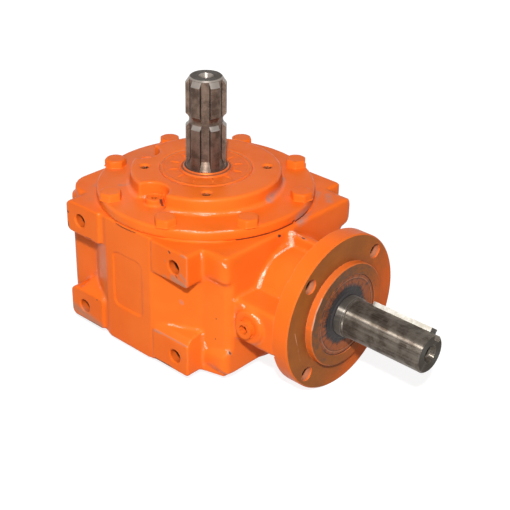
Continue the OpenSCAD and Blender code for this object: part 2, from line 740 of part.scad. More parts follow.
// Balls of the upper input bearing
module upper_bearing_balls() {
  color([0.8, 0.8, 0.8]) translate([0, 0, upper_z]) bearing_balls(upper_d, upper_od, upper_w);
}

// Cage of the upper input bearing
module upper_bearing_cage() {
  color([0.72, 0.6, 0.32]) translate([0, 0, upper_z]) bearing_cage(upper_d, upper_od, upper_w);
}

// Outer ring of the lower input bearing
module lower_bearing_outer() {
  color([0.7, 0.7, 0.7]) translate([0, 0, lower_z]) bearing_outer(lower_d, lower_od, lower_w);
}

// Inner ring of the lower input bearing
module lower_bearing_inner() {
  color([0.7, 0.7, 0.7]) translate([0, 0, lower_z]) bearing_inner(lower_d, lower_od, lower_w);
}

// Balls of the lower input bearing
module lower_bearing_balls() {
  color([0.8, 0.8, 0.8]) translate([0, 0, lower_z]) bearing_balls(lower_d, lower_od, lower_w);
}

// Cage of the lower input bearing
module lower_bearing_cage() {
  color([0.72, 0.6, 0.32]) translate([0, 0, lower_z]) bearing_cage(lower_d, lower_od, lower_w);
}

// Output shaft with the pinion cut on its inner end and a keyway open at its outer end
module pinion_shaft() {
  root_t = pinion_cone - (crown_add + clear_f) * gear_module / cone_l * 180 / PI;
  root_r = cone_l * sin(root_t);
  back_x = cone_l * cos(root_t);
  inner_l = cone_l - face_w;
  step_x = flange_x + spigot_l + 8.4;
  key_x = output_end - key_gap - key_l;
  color([0.42, 0.4, 0.38]) {
    on_output_axis(0) rotate([0, 0, 180])
      bevel_teeth(pinion_cone, pinion_teeth, pinion_add, crown_add + clear_f, thick_shift, 1, -0.5, 10);
    difference() {
      on_output_axis(0) rotate_extrude() polygon([
        [0, inner_l * cos(root_t) - 3], [13, inner_l * cos(root_t) - 3], [14, inner_l * cos(root_t) - 2],
        [14, back_x - 1.5], [22, back_x - 1.5], [22, inner_brg_x], [output_seat_d / 2, inner_brg_x],
        [output_seat_d / 2, step_x - 0.8], [output_d / 2, step_x], [output_d / 2, output_end - 1.2],
        [output_d / 2 - 1.2, output_end], [0, output_end]
      ]);
      // Keyway open at the shaft end
      on_output_axis(0) rotate([0, 0, 90 + 90 - key_turn]) {
        translate([output_d / 2 - key_deep, -key_w / 2, key_x + key_w / 2])
          cube([key_h + 2, key_w, key_l + key_gap]);
        translate([output_d / 2 - key_deep, 0, key_x + key_w / 2]) rotate([0, 90, 0])
          cylinder(d = key_w, h = key_h + 2);
      }
      // Tapped centre hole
      on_output_axis(output_end - 32) cylinder(d = 10.2, h = 33);
      on_output_axis(output_end - 5) cylinder(r1 = 5.1, r2 = 7.8, h = 5 + eps);
      // Groove for the retaining ring
      on_output_axis(outer_brg_x + out_w) ring(output_seat_d / 2 + 1, output_seat_d / 2 - 1.25, 1.6);
    }
  }
}

// Parallel key in the output shaft, round at its inner end
module output_key() {
  key_x = output_end - key_gap - key_l;
  color([0.78, 0.77, 0.74]) on_output_axis(0) rotate([0, 0, 180 - key_turn])
    translate([output_d / 2 - key_deep, 0, key_x]) {
      translate([0, -key_w / 2, key_w / 2]) cube([key_h, key_w, key_l - key_w / 2]);
      translate([0, 0, key_w / 2]) rotate([0, 90, 0]) cylinder(d = key_w, h = key_h);
    }
}

// Sleeve between the outer rings of the output bearings
module outer_spacer() {
  color([0.55, 0.54, 0.52]) on_output_axis(inner_brg_x + out_w)
    ring(out_od / 2, out_od / 2 - 4, outer_brg_x - inner_brg_x - out_w);
}

// Sleeve between the inner rings of the output bearings
module inner_spacer() {
  color([0.55, 0.54, 0.52]) on_output_axis(inner_brg_x + out_w)
    ring(output_seat_d / 2 + 4, output_seat_d / 2, outer_brg_x - inner_brg_x - out_w);
}

// Outer ring of the output bearing next to the pinion
module inboard_bearing_outer() {
  color([0.7, 0.7, 0.7]) on_output_axis(inner_brg_x) bearing_outer(output_seat_d, out_od, out_w);
}

// Inner ring of the output bearing next to the pinion
module inboard_bearing_inner() {
  color([0.7, 0.7, 0.7]) on_output_axis(inner_brg_x) bearing_inner(output_seat_d, out_od, out_w);
}

// Balls of the output bearing next to the pinion
module inboard_bearing_balls() {
  color([0.8, 0.8, 0.8]) on_output_axis(inner_brg_x) bearing_balls(output_seat_d, out_od, out_w);
}

// Cage of the output bearing next to the pinion
module inboard_bearing_cage() {
  color([0.72, 0.6, 0.32]) on_output_axis(inner_brg_x) bearing_cage(output_seat_d, out_od, out_w);
}

// Outer ring of the output bearing next to the flange
module outboard_bearing_outer() {
  color([0.7, 0.7, 0.7]) on_output_axis(outer_brg_x) bearing_outer(output_seat_d, out_od, out_w);
}

// Inner ring of the output bearing next to the flange
module outboard_bearing_inner() {
  color([0.7, 0.7, 0.7]) on_output_axis(outer_brg_x) bearing_inner(output_seat_d, out_od, out_w);
}

// Balls of the output bearing next to the flange
module outboard_bearing_balls() {
  color([0.8, 0.8, 0.8]) on_output_axis(outer_brg_x) bearing_balls(output_seat_d, out_od, out_w);
}

// Cage of the output bearing next to the flange
module outboard_bearing_cage() {
  color([0.72, 0.6, 0.32]) on_output_axis(outer_brg_x) bearing_cage(output_seat_d, out_od, out_w);
}

housing();
top_cover();
cover_gasket();
cover_bolts();
cover_plugs();
bottom_cap();
level_plug();
level_washer();
drain_plug();
drain_washer();
input_shaft();
crown_wheel();
crown_key();
crown_shims();
input_seal();
cover_circlip();
input_circlip();
foot_circlip();
bottom_circlip();
upper_bearing_outer();
upper_bearing_inner();
upper_bearing_balls();
upper_bearing_cage();
lower_bearing_outer();
lower_bearing_inner();
lower_bearing_balls();
lower_bearing_cage();
pinion_shaft();
output_key();
output_seal();
neck_circlips();
output_circlip();
outer_spacer();
inner_spacer();
inboard_bearing_outer();
inboard_bearing_inner();
inboard_bearing_balls();
inboard_bearing_cage();
outboard_bearing_outer();
outboard_bearing_inner();
outboard_bearing_balls();
outboard_bearing_cage();
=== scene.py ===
import itertools
import json

import bmesh
import bpy
import numpy as np
from mathutils import Euler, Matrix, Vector


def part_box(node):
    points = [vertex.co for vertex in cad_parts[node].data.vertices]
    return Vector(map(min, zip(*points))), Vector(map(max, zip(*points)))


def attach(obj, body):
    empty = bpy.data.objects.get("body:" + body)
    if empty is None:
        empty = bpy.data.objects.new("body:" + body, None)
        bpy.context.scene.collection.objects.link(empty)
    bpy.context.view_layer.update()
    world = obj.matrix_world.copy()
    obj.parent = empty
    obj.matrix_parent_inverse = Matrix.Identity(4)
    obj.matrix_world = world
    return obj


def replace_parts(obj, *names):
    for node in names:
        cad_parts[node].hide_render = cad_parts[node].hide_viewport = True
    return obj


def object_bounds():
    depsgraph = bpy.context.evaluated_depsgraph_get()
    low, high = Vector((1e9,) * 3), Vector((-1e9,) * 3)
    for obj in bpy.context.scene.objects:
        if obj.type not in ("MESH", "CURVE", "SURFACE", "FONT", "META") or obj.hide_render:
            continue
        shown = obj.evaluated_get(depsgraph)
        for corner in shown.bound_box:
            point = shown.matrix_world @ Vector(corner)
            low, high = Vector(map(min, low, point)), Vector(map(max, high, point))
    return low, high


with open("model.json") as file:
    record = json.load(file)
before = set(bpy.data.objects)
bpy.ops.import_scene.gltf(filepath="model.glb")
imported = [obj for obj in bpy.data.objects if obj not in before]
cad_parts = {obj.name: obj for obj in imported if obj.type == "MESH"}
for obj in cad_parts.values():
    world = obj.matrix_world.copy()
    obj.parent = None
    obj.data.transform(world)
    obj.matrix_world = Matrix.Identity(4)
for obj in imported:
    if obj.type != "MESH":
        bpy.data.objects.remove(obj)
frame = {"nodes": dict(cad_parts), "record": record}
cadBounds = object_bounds()
nodes = frame["nodes"]
mountAt = {m["name"]: Vector(m["pos_m"]) for m in frame["record"]["mounts"]}
mm = 0.001  # the script's lengths are in metres, so a size in millimetres is times mm
axisH = mountAt["output_spigot"].z  # height of the output shaft
flangeX = mountAt["flange_face"].x  # front face of the flange
flangeBack = flangeX - 15 * mm  # the plane where it meets the neck
bossY = abs(mountAt["side_holes_right"].y)  # machined faces of the side bosses
hubZ = mountAt["hub_holes"].z  # top of the raised hub
coverLow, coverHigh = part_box("cover_gasket")
jointZ = coverLow.z  # joint face between housing and cover
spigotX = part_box("output_seal")[1].x
sideHoles = {
    "halfX": 57.5 * mm,
    "halfZ": 42.5 * mm,
    "middle": mountAt["side_holes_right"].z,
    "radius": 6.0 * mm,
    "near": 1.6 * mm,  # how near to the wall a point of the skin is put on it
    "depth": 21 * mm,
    "flare": 0.7 * mm,
}
print("frame loaded:", len(nodes), "nodes")


# Camera, at the photograph's own viewing angle

cameraLook = {
    "place": (650.4 * mm, -656.4 * mm, 505.12 * mm + axisH),
    "turn": (61.0247, -1.0914, 42.6217),  # degrees about X, Y and Z
    "lens": 82.774,
    "sensor": 36,
    "near": 0.05,
}


def linked(name, data):
    # a new object of the scene round a camera, lamp or mesh
    obj = bpy.data.objects.new(name, data)
    bpy.context.scene.collection.objects.link(obj)
    return obj


def makeCamera(look):
    data = bpy.data.cameras.new("photoCamera")
    data.lens = look["lens"]
    data.sensor_width = look["sensor"]
    data.clip_start = look["near"]
    camera = linked("photoCamera", data)
    camera.location = look["place"]
    camera.rotation_euler = Euler([np.radians(a) for a in look["turn"]], "XYZ")
    bpy.context.scene.camera = camera
    bpy.context.scene.view_settings.view_transform = "Standard"


makeCamera(cameraLook)
print("camera placed")


# Meshes from arrays

def meshOf(name, points, faces):
    mesh = bpy.data.meshes.new(name)
    mesh.from_pydata(points.tolist(), [], faces)
    mesh.update()
    return mesh


def shadeSmooth(mesh):
    mesh.polygons.foreach_set("use_smooth", np.full(len(mesh.polygons), True))


def dressed(piece, body):
    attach(piece, body)
    return piece


def pieceFrom(name, points, faces, body):
    mesh = meshOf(name, points, faces.tolist())
    shadeSmooth(mesh)
    return dressed(linked(name, mesh), body)


def wholeTurn(count):
    return np.linspace(0, 2 * np.pi, count, endpoint=False)[None, :]


def gridFaces(rows, columns, closeRows=False, first=0):
    # quads between neighbouring rows and columns of a grid of points; the columns close, the rows where asked
    r = np.arange(rows if closeRows else rows - 1)[:, None]
    c = np.arange(columns)[None, :]
    r2, c2 = (r + 1) % rows, (c + 1) % columns
    corners = (r * columns + c, r * columns + c2, r2 * columns + c2, r2 * columns + c)
    return np.stack(np.broadcast_arrays(*corners), -1).reshape(-1, 4) + first


def hexReach(turn, sharp=26.0):
    # distance to the side of a softly cornered hexagon of unit half width, at angle turn: the inverse of the
    # p-norm of the cosines to its three pairs of sides
    sides = np.arange(3) * np.pi / 3
    return (np.abs(np.cos(turn[..., None] - sides)) ** sharp).sum(-1) ** (-1 / sharp)


def aboutZ(radius, turn, height, centre):
    return np.stack([centre[0] + radius * np.cos(turn), centre[1] + radius * np.sin(turn), centre[2] + height], -1)


def aboutX(radius, turn, height, centre):
    return np.stack([centre[0] + height, centre[1] + radius * np.cos(turn), centre[2] + radius * np.sin(turn)], -1)


def barrel(radius, low, high, centre, around=96, along="z"):
    # closed cylinder: four rings of points at low, low, high, high with the first and last drawn in to a point
    turn = wholeTurn(around)
    radii = np.array([0.01 * radius, radius, radius, 0.01 * radius])[:, None]
    heights = np.array([low, low, high, high])[:, None]
    place = aboutZ if along == "z" else aboutX
    points = place(radii, turn, heights + 0 * turn, centre).reshape(-1, 3)
    caps = np.array([list(range(around))[::-1], list(range(3 * around, 4 * around))], dtype=object)
    faces = gridFaces(4, around).tolist() + [list(cap) for cap in caps]
    return points, faces


# Cast skin: a node's own shape with the soft fillets and rounded edges of a painted casting

def read(items, key, width=3, kind=float):
    # one property of a mesh's points or edges as an array
    values = np.empty(len(items) * width, kind)
    items.foreach_get(key, values)
    return values.reshape(-1, width)


def nodeArrays(name):
    # points and triangles of a node with its loose triangles merged
    work = bmesh.new()
    work.from_mesh(nodes[name].data)
    bmesh.ops.remove_doubles(work, verts=work.verts, dist=1e-6)
    mesh = bpy.data.meshes.new("work")
    work.to_mesh(mesh)
    work.free()
    points = read(mesh.vertices, "co")
    faces = [list(p.vertices) for p in mesh.polygons]
    bpy.data.meshes.remove(mesh)
    return points, faces


def workObject(name, parts):
    # one mesh object out of several (points, faces) pairs
    allPoints, allFaces, first = [], [], 0
    for points, faces in parts:
        allPoints.append(points)
        allFaces += [[first + i for i in face] for face in faces]
        first += len(points)
    return linked(name, meshOf(name, np.concatenate(allPoints), allFaces))


def applied(obj):
    # the same object with its modifiers in its mesh
    graph = bpy.context.evaluated_depsgraph_get()
    mesh = bpy.data.meshes.new_from_object(obj.evaluated_get(graph))
    name = obj.name
    bpy.data.objects.remove(obj)
    return linked(name, mesh)


def relax(points, edges, weight, rounds):
    # each round moves every point towards the mean of its neighbours by its own weight
    a = np.concatenate([edges[:, 0], edges[:, 1]])
    b = np.concatenate([edges[:, 1], edges[:, 0]])
    count = np.maximum(np.bincount(a, minlength=len(points)), 1)[:, None]
    for _ in range(rounds):
        mean = np.stack([np.bincount(a, points[b, k], len(points)) for k in range(3)], 1) / count
        points = points + weight[:, None] * (mean - points)
    return points


def smoothStep(share):
    # 0 below nought, 1 above one, and between them three squares less two cubes
    share = np.clip(share, 0, 1)
    return share * share * (3 - 2 * share)


def waves(points, length):
    # smooth unevenness between -1 and 1: the mean of products of sines along three skewed directions
    k = 2 * np.pi / length
    x, y, z = points.T
    first = np.sin(k * (0.9 * x + 0.3 * y)) * np.sin(k * (0.8 * y - 0.5 * z) + 1.3)
    second = np.sin(k * (0.7 * z + 0.6 * x) * 1.7 + 0.4) * np.sin(k * (0.9 * y + 0.4 * x) * 1.4)
    return 0.5 * (first + second)


def snapRound(points, centre, axis, radius, reach, low, high, mouth=None, flare=0.0):
    # puts the points near a round wall, between two heights along its axis, on it: its radius grows by the flare
    # in an even cone over the last flare before the mouth
    other = [k for k in range(3) if k != axis]
    offset = points[:, other] - np.array([centre[k] for k in other])
    distance = np.maximum(np.linalg.norm(offset, axis=1), 1e-9)
    height = points[:, axis]
    near = (np.abs(distance - radius) < reach) & (height > low) & (height < high)
    if mouth is not None:
        radius = radius + np.clip(flare - np.abs(height - mouth), 0, flare)
    scaled = offset * (radius / distance)[:, None] + np.array([centre[k] for k in other])
    for i, k in enumerate(other):
        points[near, k] = scaled[near, i]
    return points


def pressRecess(points, normals, look):
    # blank field in the front panel: depth times a smooth step of the distance inside a rounded rectangle
    x, y, z = points.T
    inX = np.abs(x) - look["halfWide"] + look["corner"]
    inZ = np.abs(z - look["middle"]) - look["halfTall"] + look["corner"]
    outside = np.hypot(np.maximum(inX, 0), np.maximum(inZ, 0)) + np.minimum(np.maximum(inX, inZ), 0)
    outside = outside - look["corner"]
    step = smoothStep(0.5 - outside / (2 * look["edge"]))
    onPanel = (y < -look["plane"] + 2 * mm) & (normals[:, 1] < -0.6) & (outside < 3 * mm)
    points[onPanel, 1] = (-look["plane"] + look["depth"] * step)[onPanel]
    return points


# painted highlight: stretches along fillets and edges that get pale highlight specks where the key lamp's reflection
# falls: the points of a line, its reach and strength
highlightStrips = [
    ([(101.5, -1.5, 115.5), (103.5, -4, 105.5)], 5.0, 1.0),
    ([(103.5, -6, 105), (100.5, -20, 99), (100, -34, 88)], 2.3, 1.0),
    ([(100, -34, 88), (100.8, -41, 79)], 3.2, 0.9), ([(103, -1, 115), (118, -1, 113)], 1.6, 0.6),
    ([(22, -64, 128), (47, -48.5, 128), (63, -24, 128)], 1.7, 0.8),
    ([(44, -84, 127), (67, -67, 127), (82, -47, 127)], 1.3, 0.85),
    ([(60, -76, 117.6), (72, -65.5, 117.6), (85, -47, 117.6)], 1.3, 0.85),
    ([(97, -67.5, 77), (108, -66, 74)], 2.2, 0.85),
    ([(118, -68.5, 73), (125, -67, 69.5), (127.5, -67, 64)], 1.4, 1.0),
    ([(44, -88.5, 39.5), (60, -83, 39), (73, -78, 38)], 2.1, 0.85),
    ([(74, -77, 30), (76, -76.5, 25)], 2.0, 0.9), ([(93, -71.5, 29), (97, -71, 27)], 1.6, 0.9),
    ([(73, -80, 115), (75, -79.5, 107)], 1.5, 0.8), ([(93, -76, 113), (96, -75, 110)], 2.0, 0.95),
    ([(-34, -94, 117), (-34, -94, 112)], 1.3, 0.8), ([(-34, -93, 34), (-33, -93, 31)], 1.2, 0.8),
    ([(-14, -60, 128), (-11, -62, 128)], 1.6, 0.9),
    ([(30, -60, 141.2), (52, -41, 141.2), (62, -20, 141.2)], 0.9, 0.5),
]


def highlightStripMask(points, lines):
    # how near each point is to the lines: one on a line, falling smoothly to zero at its reach, times its strength
    mask = np.zeros(len(points))
    for corners, reach, strength in lines:
        for a, b in zip(np.array(corners)[:-1] * mm, np.array(corners)[1:] * mm):
            share = np.clip((points - a) @ (b - a) / ((b - a) @ (b - a)), 0, 1)[:, None]
            away = np.linalg.norm(points - a - share * (b - a), axis=1) / (reach * mm)
            mask = np.maximum(mask, strength * smoothStep((1 - away) / 0.7))
    return mask


# the last attribute is where the paint gets painted highlight specks
skinAttributes = ("hollow", "ridge", "paintedHighlight")


def castSkin(name, node, parts, look, weightOf, roundWalls, body, cut=None, stretch=None, press=None):
    # remeshes the solids to even cells and relaxes them, so that hollows fill and ridges round off; how much they
    # did so at each point, and where the painted highlight specks go, is kept in the skin's attributes for the paint
    piece = workObject(name, parts)
    if cut is not None:
        box = workObject(name + "Cut", [cut])
        trim = piece.modifiers.new("trim", "BOOLEAN")
        trim.operation = "INTERSECT"
        trim.object = box
        piece = applied(piece)
        bpy.data.objects.remove(box)
    cells = piece.modifiers.new("cells", "REMESH")
    cells.mode = "VOXEL"
    cells.voxel_size = look["cell"]
    piece = applied(piece)
    mesh = piece.data
    points = read(mesh.vertices, "co")
    edges = read(mesh.edges, "vertices", 2, np.int64)
    normals = read(mesh.vertices, "normal")
    weight = weightOf(points)
    halfway = np.full(len(points), 0.5)
    soft = relax(relax(points, edges, halfway, 2), edges, weight, look["rounds"])
    lift = ((soft - points) * normals).sum(1)
    lift = relax(np.repeat(lift[:, None], 3, 1), edges, halfway, 3)[:, 0] / look["fullLift"]
    soft = soft + normals * (weight * waves(points, look["waveLength"]) * look["wave"])[:, None]
    for wall in roundWalls:
        soft = snapRound(soft, *wall)
    if press is not None:
        soft = pressRecess(soft, normals, press)
    if stretch is not None:
        start, factor = stretch
        beyond = soft[:, 0] > start
        soft[beyond, 0] = start + (soft[beyond, 0] - start) * factor
    soft[:, 1] = np.clip(soft[:, 1], -bossY, bossY)
    mesh.vertices.foreach_set("co", soft.astype(np.float32).ravel())
    for attribute, value in zip(skinAttributes, (lift, -lift, highlightStripMask(soft, highlightStrips))):
        layer = mesh.attributes.new(attribute, "FLOAT", "POINT")
        layer.data.foreach_set("value", np.clip(value, 0, 1).astype(np.float32))
    mesh.update()
    triangles = 2 * len(mesh.polygons)
    if triangles > look["triangles"]:
        fewer = piece.modifiers.new("fewer", "DECIMATE")
        fewer.ratio = look["triangles"] / triangles
        piece = applied(piece)
    shadeSmooth(piece.data)
    even = piece.modifiers.new("even", "WEIGHTED_NORMAL")  # flat faces keep the normals of their largest triangles
    even.weight = look["flatness"]
    piece = applied(piece)
    piece.data.name = name
    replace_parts(dressed(piece, body), node)
    print(name, triangles, "triangles before,", len(piece.data.polygons), "faces after")
    return piece


bodyLook = {
    "cell": 1.15 * mm,
    "rounds": 13,
    "waveLength": 46 * mm,
    "wave": 0.22 * mm,
    "fullLift": 0.55 * mm,
    "triangles": 190000,
    "flatness": 60,
    "castWeight": 0.26,
    "roundWeight": 0.6,
    "roundFrom": (74 * mm, -62 * mm, 86 * mm),
    "machinedWeight": 0.08,
    "machinedDepth": 3.2 * mm,
    "rimWeight": 0.1,
    "rimDepth": 2.2 * mm,
    # barrels that fill the room inside, which no one sees: radius, and from where to where along the axis
    "chamber": (80 * mm, 10 * mm, jointZ - 1.5 * mm),
    "foot": (38 * mm, 8 * mm, 30 * mm),
    "outBore": (39.5 * mm, 60 * mm, 150 * mm),
    "cutShort": 0.4 * mm,  # of the flange's back
    "stretchFrom": 2.2 * mm,  # before the flange's back, by a factor that brings the cut end up to it
    "stretch": 2.6,
}

recessLook = {
    "halfWide": 17.5 * mm,
    "halfTall": 26 * mm,
    "corner": 6 * mm,
    "depth": 1.1 * mm,
    "edge": 0.55 * mm,
    "middle": axisH + 2 * mm,
    "plane": bossY - mm,
}


def bodyWeight(points):
    # full weight on the softly rounded upper blocks, less on the rest, little on machined faces and the cover's seat
    x, y, z = bodyLook["roundFrom"]
    weight = np.full(len(points), bodyLook["castWeight"])
    weight[(points[:, 0] > x) & (np.abs(points[:, 1]) > -y) & (points[:, 2] > z)] = bodyLook["roundWeight"]
    weight[points[:, 2] > jointZ - bodyLook["rimDepth"]] = bodyLook["rimWeight"]
    machined = np.abs(points[:, 1]) > bossY - bodyLook["machinedDepth"]
    weight[machined] = bodyLook["machinedWeight"]
    return weight


def makeBody(look):
    # the skin of the housing without its flange; its last stretch is drawn out a little to meet the flange's back
    origin = (0, 0, 0)
    outBore = barrel(*look["outBore"], (0, 0, axisH), along="x")
    parts = [nodeArrays("housing"), barrel(*look["chamber"], origin), barrel(*look["foot"], origin), outBore]
    far = 0.3  # a block that ends at the back of the flange, and elsewhere lies far outside the part
    ends = (-far, flangeBack - look["cutShort"])
    corners = np.array(list(itertools.product(ends, (-far, far), (-far, far))))
    sides = [[0, 1, 3, 2], [4, 6, 7, 5], [0, 4, 5, 1], [2, 3, 7, 6], [0, 2, 6, 4], [1, 5, 7, 3]]
    walls = []
    for sx, sz, side in itertools.product((-1, 1), repeat=3):
        centre = (sx * sideHoles["halfX"], 0, sideHoles["middle"] + sz * sideHoles["halfZ"])
        ends = sorted((side * (bossY + mm), side * (bossY - sideHoles["depth"])))
        walls.append((centre, 1, sideHoles["radius"], sideHoles["near"], *ends, side * bossY, sideHoles["flare"]))
    return castSkin("castBody", "housing", parts, look, bodyWeight, walls, "housing",
                    cut=(corners, sides), stretch=(flangeBack - look["stretchFrom"], look["stretch"]), press=recessLook)


castBody = makeBody(bodyLook)

coverLook = {
    "cell": 0.95 * mm,
    "rounds": 8,
    "waveLength": 40 * mm,
    "wave": 0.1 * mm,
    "fullLift": 0.35 * mm,
    "triangles": 170000,
    "flatness": 60,
    "castWeight": 0.4,
    "footWeight": 0.08,
    "footHeight": 3.5 * mm,
    "bossWeight": 0.06,
    "bossReach": 10.5 * mm,
    "bossTurns": (194, 270),
    "bossCircle": 61 * mm,
    "filling": (42 * mm, 100 * mm, hubZ - 10.5 * mm),  # a barrel inside: radius, from and to
    "bore": (40 * mm, mm, 9 * mm),  # radius, how near a point counts as its wall, depth
    "guardTurns": (45, 135, 225, 315),
    "guardCircle": 53 * mm,
    "guardHole": (3.3 * mm, 2.5 * mm, 12 * mm),  # as the bore
    "guardFlare": 2.0 * mm,
}


def coverWeight(points):
    # little weight at the edge that sits on the housing and round the two plug bosses
    weight = np.full(len(points), coverLook["castWeight"])
    weight[points[:, 2] < jointZ + coverLook["footHeight"]] = coverLook["footWeight"]
    for turn in np.radians(coverLook["bossTurns"]):
        centre = coverLook["bossCircle"] * np.array([np.cos(turn), np.sin(turn)])
        near = np.linalg.norm(points[:, :2] - centre, axis=1) < coverLook["bossReach"]
        weight[near] = coverLook["bossWeight"]
    return weight


def makeCover(look):
    # the skin of the cover; the walls of its bore and of the hub's four small holes stay round
    parts = [nodeArrays("top_cover"), barrel(*look["filling"], (0, 0, 0))]
    radius, near, depth = look["bore"]
    walls = [((0, 0, 0), 2, radius, near, hubZ - depth, hubZ + mm)]
    radius, near, depth = look["guardHole"]
    for turn in np.radians(look["guardTurns"]):
        centre = (look["guardCircle"] * np.cos(turn), look["guardCircle"] * np.sin(turn), 0)
        walls.append((centre, 2, radius, near, hubZ - depth, hubZ + mm, hubZ, look["guardFlare"]))
    return castSkin("castCover", "top_cover", parts, look, coverWeight, walls, "housing")


castCover = makeCover(coverLook)


def makeFlange():
    # the crisp turned part: the housing's own triangles in front of the back plane of the flange
    points, faces = nodeArrays("housing")
    faces = np.array(faces)
    middle = points[faces].mean(1)
    kept = faces[middle[:, 0] > flangeBack - 0.05 * mm]
    used, index = np.unique(kept, return_inverse=True)
    piece = pieceFrom("outputFlange", points[used], index.reshape(-1, 3), "housing")
    piece.data.set_sharp_from_angle(angle=np.radians(28))
    return piece


outputFlange = makeFlange()
print("flange made")


# Shader groups

class Wiring:
    # short calls to add nodes to a tree and to link or set their inputs
    def __init__(self, tree):
        self.tree = tree

    def put(self, socket, value):
        if isinstance(value, bpy.types.NodeSocket):
            self.tree.links.new(value, socket)
        else:
            socket.default_value = (*value, 1) if socket.type == "RGBA" else value  # a colour is three numbers

    def fill(self, made, *placed, **named):
        # the first inputs by their places, and others by their names with underscores for the spaces
        for socket, value in zip(made.inputs, placed):
            self.put(socket, value)
        for key, value in named.items():
            self.put(made.inputs[key.replace("_", " ")], value)
        return made

    def node(self, kind, settings=None, *placed, **named):
        made = self.tree.nodes.new("ShaderNode" + kind)
        for key, value in (settings or {}).items():
            setattr(made, key, value)
        return self.fill(made, *placed, **named)

    def group(self, tree, **named):
        return self.node("Group", {"node_tree": tree}, **named).outputs

    def math(self, operation, a, b=0.0, clamp=False):
        return self.node("Math", {"operation": operation, "use_clamp": clamp}, a, b).outputs[0]

    def plus(self, a, b):
        return self.math("ADD", a, b)

    def minus(self, a, b):
        return self.math("SUBTRACT", a, b)

    def times(self, a, b):
        return self.math("MULTIPLY", a, b)

    def most(self, a, b):
        return self.math("MAXIMUM", a, b)

    def off(self, value, middle):
        return self.math("ABSOLUTE", self.minus(value, middle))

    def hypot(self, a, b):
        return self.math("SQRT", self.plus(self.times(a, a), self.times(b, b)))

    def vector(self, operation, a, b=(0.0, 0.0, 0.0)):
        made = self.node("VectorMath", {"operation": operation}, a, b)
        return made.outputs["Value"] if operation in ("LENGTH", "DOT_PRODUCT") else made.outputs[0]

    def scaled(self, vector, factor):
        return self.node("VectorMath", {"operation": "SCALE"}, vector, Scale=factor).outputs[0]

    def parts(self, vector):
        return self.node("SeparateXYZ", None, vector).outputs

    def join(self, **parts):
        return self.node("CombineXYZ", **parts).outputs[0]

    def ramp(self, value, low, high, toLow=0.0, toHigh=1.0):
        made = self.node("MapRange", {"interpolation_type": "SMOOTHSTEP"}, value, low, high, toLow, toHigh)
        return made.outputs["Result"]

    def mix(self, factor, a, b):
        made = self.node("Mix", {"data_type": "RGBA"}, factor)
        self.put(made.inputs[6], a)  # the sockets of a Mix node for two colours, and its colour result
        self.put(made.inputs[7], b)
        return made.outputs[2]

    def noise(self, vector, scale, detail=3.0, rough=0.55):
        made = self.node("TexNoise", Vector=vector, Scale=scale, Detail=detail, Roughness=rough)
        return made.outputs["Fac"]

    def lines(self, value, scale, detail=3.0, rough=0.5):
        # noise along a single value
        settings = {"noise_dimensions": "1D"}
        return self.node("TexNoise", settings, W=value, Scale=scale, Detail=detail, Roughness=rough).outputs["Fac"]

    def bump(self, strength, distance, height):
        return self.node("Bump", Strength=strength, Distance=distance * mm, Height=height).outputs[0]


def newGroup(name, vectors, numbers, *results):
    # the wiring of a new group, the sockets of what it is given, and the node that takes its results
    tree = bpy.data.node_groups.new(name, "ShaderNodeTree")
    for item in vectors:
        tree.interface.new_socket(item, in_out="INPUT", socket_type="NodeSocketVector")
    for item, value in numbers.items():
        tree.interface.new_socket(item, in_out="INPUT", socket_type="NodeSocketFloat").default_value = value
    for item in results:
        tree.interface.new_socket(item, in_out="OUTPUT", socket_type="NodeSocketFloat")
    return Wiring(tree), tree.nodes.new("NodeGroupInput").outputs, tree.nodes.new("NodeGroupOutput")


def makePatchGroup():
    # mask of a strip with a broken edge: distance from the line between two points, shifted by a given noise
    w, given, end = newGroup("patch", ("Place", "From", "To"), {
        "Reach": 5.0, "Ragged": 2.0, "Soft": 0.4, "Strength": 1.0, "Rough": 0.5, "Before": 0.0}, "Mask")
    along = w.vector("SUBTRACT", given["To"], given["From"])
    rest = w.vector("SUBTRACT", given["Place"], given["From"])
    span = w.most(w.vector("DOT_PRODUCT", along, along), 0.01)
    share = w.math("DIVIDE", w.vector("DOT_PRODUCT", rest, along), span, clamp=True)
    away = w.vector("LENGTH", w.vector("SUBTRACT", rest, w.scaled(along, share)))
    edge = w.plus(away, w.times(w.minus(given["Rough"], 0.5), given["Ragged"]))
    inner = w.times(given["Reach"], w.minus(1.0, given["Soft"]))
    mask = w.times(w.ramp(edge, inner, given["Reach"], 1.0, 0.0), given["Strength"])
    w.fill(end, Mask=w.most(mask, given["Before"]))
    return w.tree


def makeHoleGroup():
    # depth into the holes of a pattern that is even about the axes: how far a point lies behind the face, where it
    # is nearer than the reach to the centre of the hole in its own quarter
    w, given, end = newGroup("holes", (), {
        "Across": 0.0, "Up": 0.0, "Behind": 0.0, "HalfAcross": 40.0, "HalfUp": 40.0, "Reach": 7.0}, "Depth")
    a, b = (w.minus(w.math("ABSOLUTE", given[n]), given["Half" + n]) for n in ("Across", "Up"))
    inside = w.math("LESS_THAN", w.hypot(a, b), given["Reach"])
    w.fill(end, Depth=w.times(inside, w.most(given["Behind"], 0.0)))
    return w.tree


def makeGrainGroup():
    # height of a painted cast surface, fine orange peel over a coarser sand texture, and broad clouds for its colour
    w, given, end = newGroup("castGrain", ("Place",), {"Peel": 0.9, "Sand": 0.22}, "Height", "Cloud")
    peel = w.noise(given["Place"], given["Peel"], 2.0, 0.5)
    sand = w.noise(given["Place"], given["Sand"], 3.0, 0.55)
    cloud = w.noise(given["Place"], 0.016, 3.0, 0.5)
    w.fill(end, Height=w.plus(w.times(peel, 0.45), w.times(sand, 0.8)), Cloud=cloud)
    return w.tree


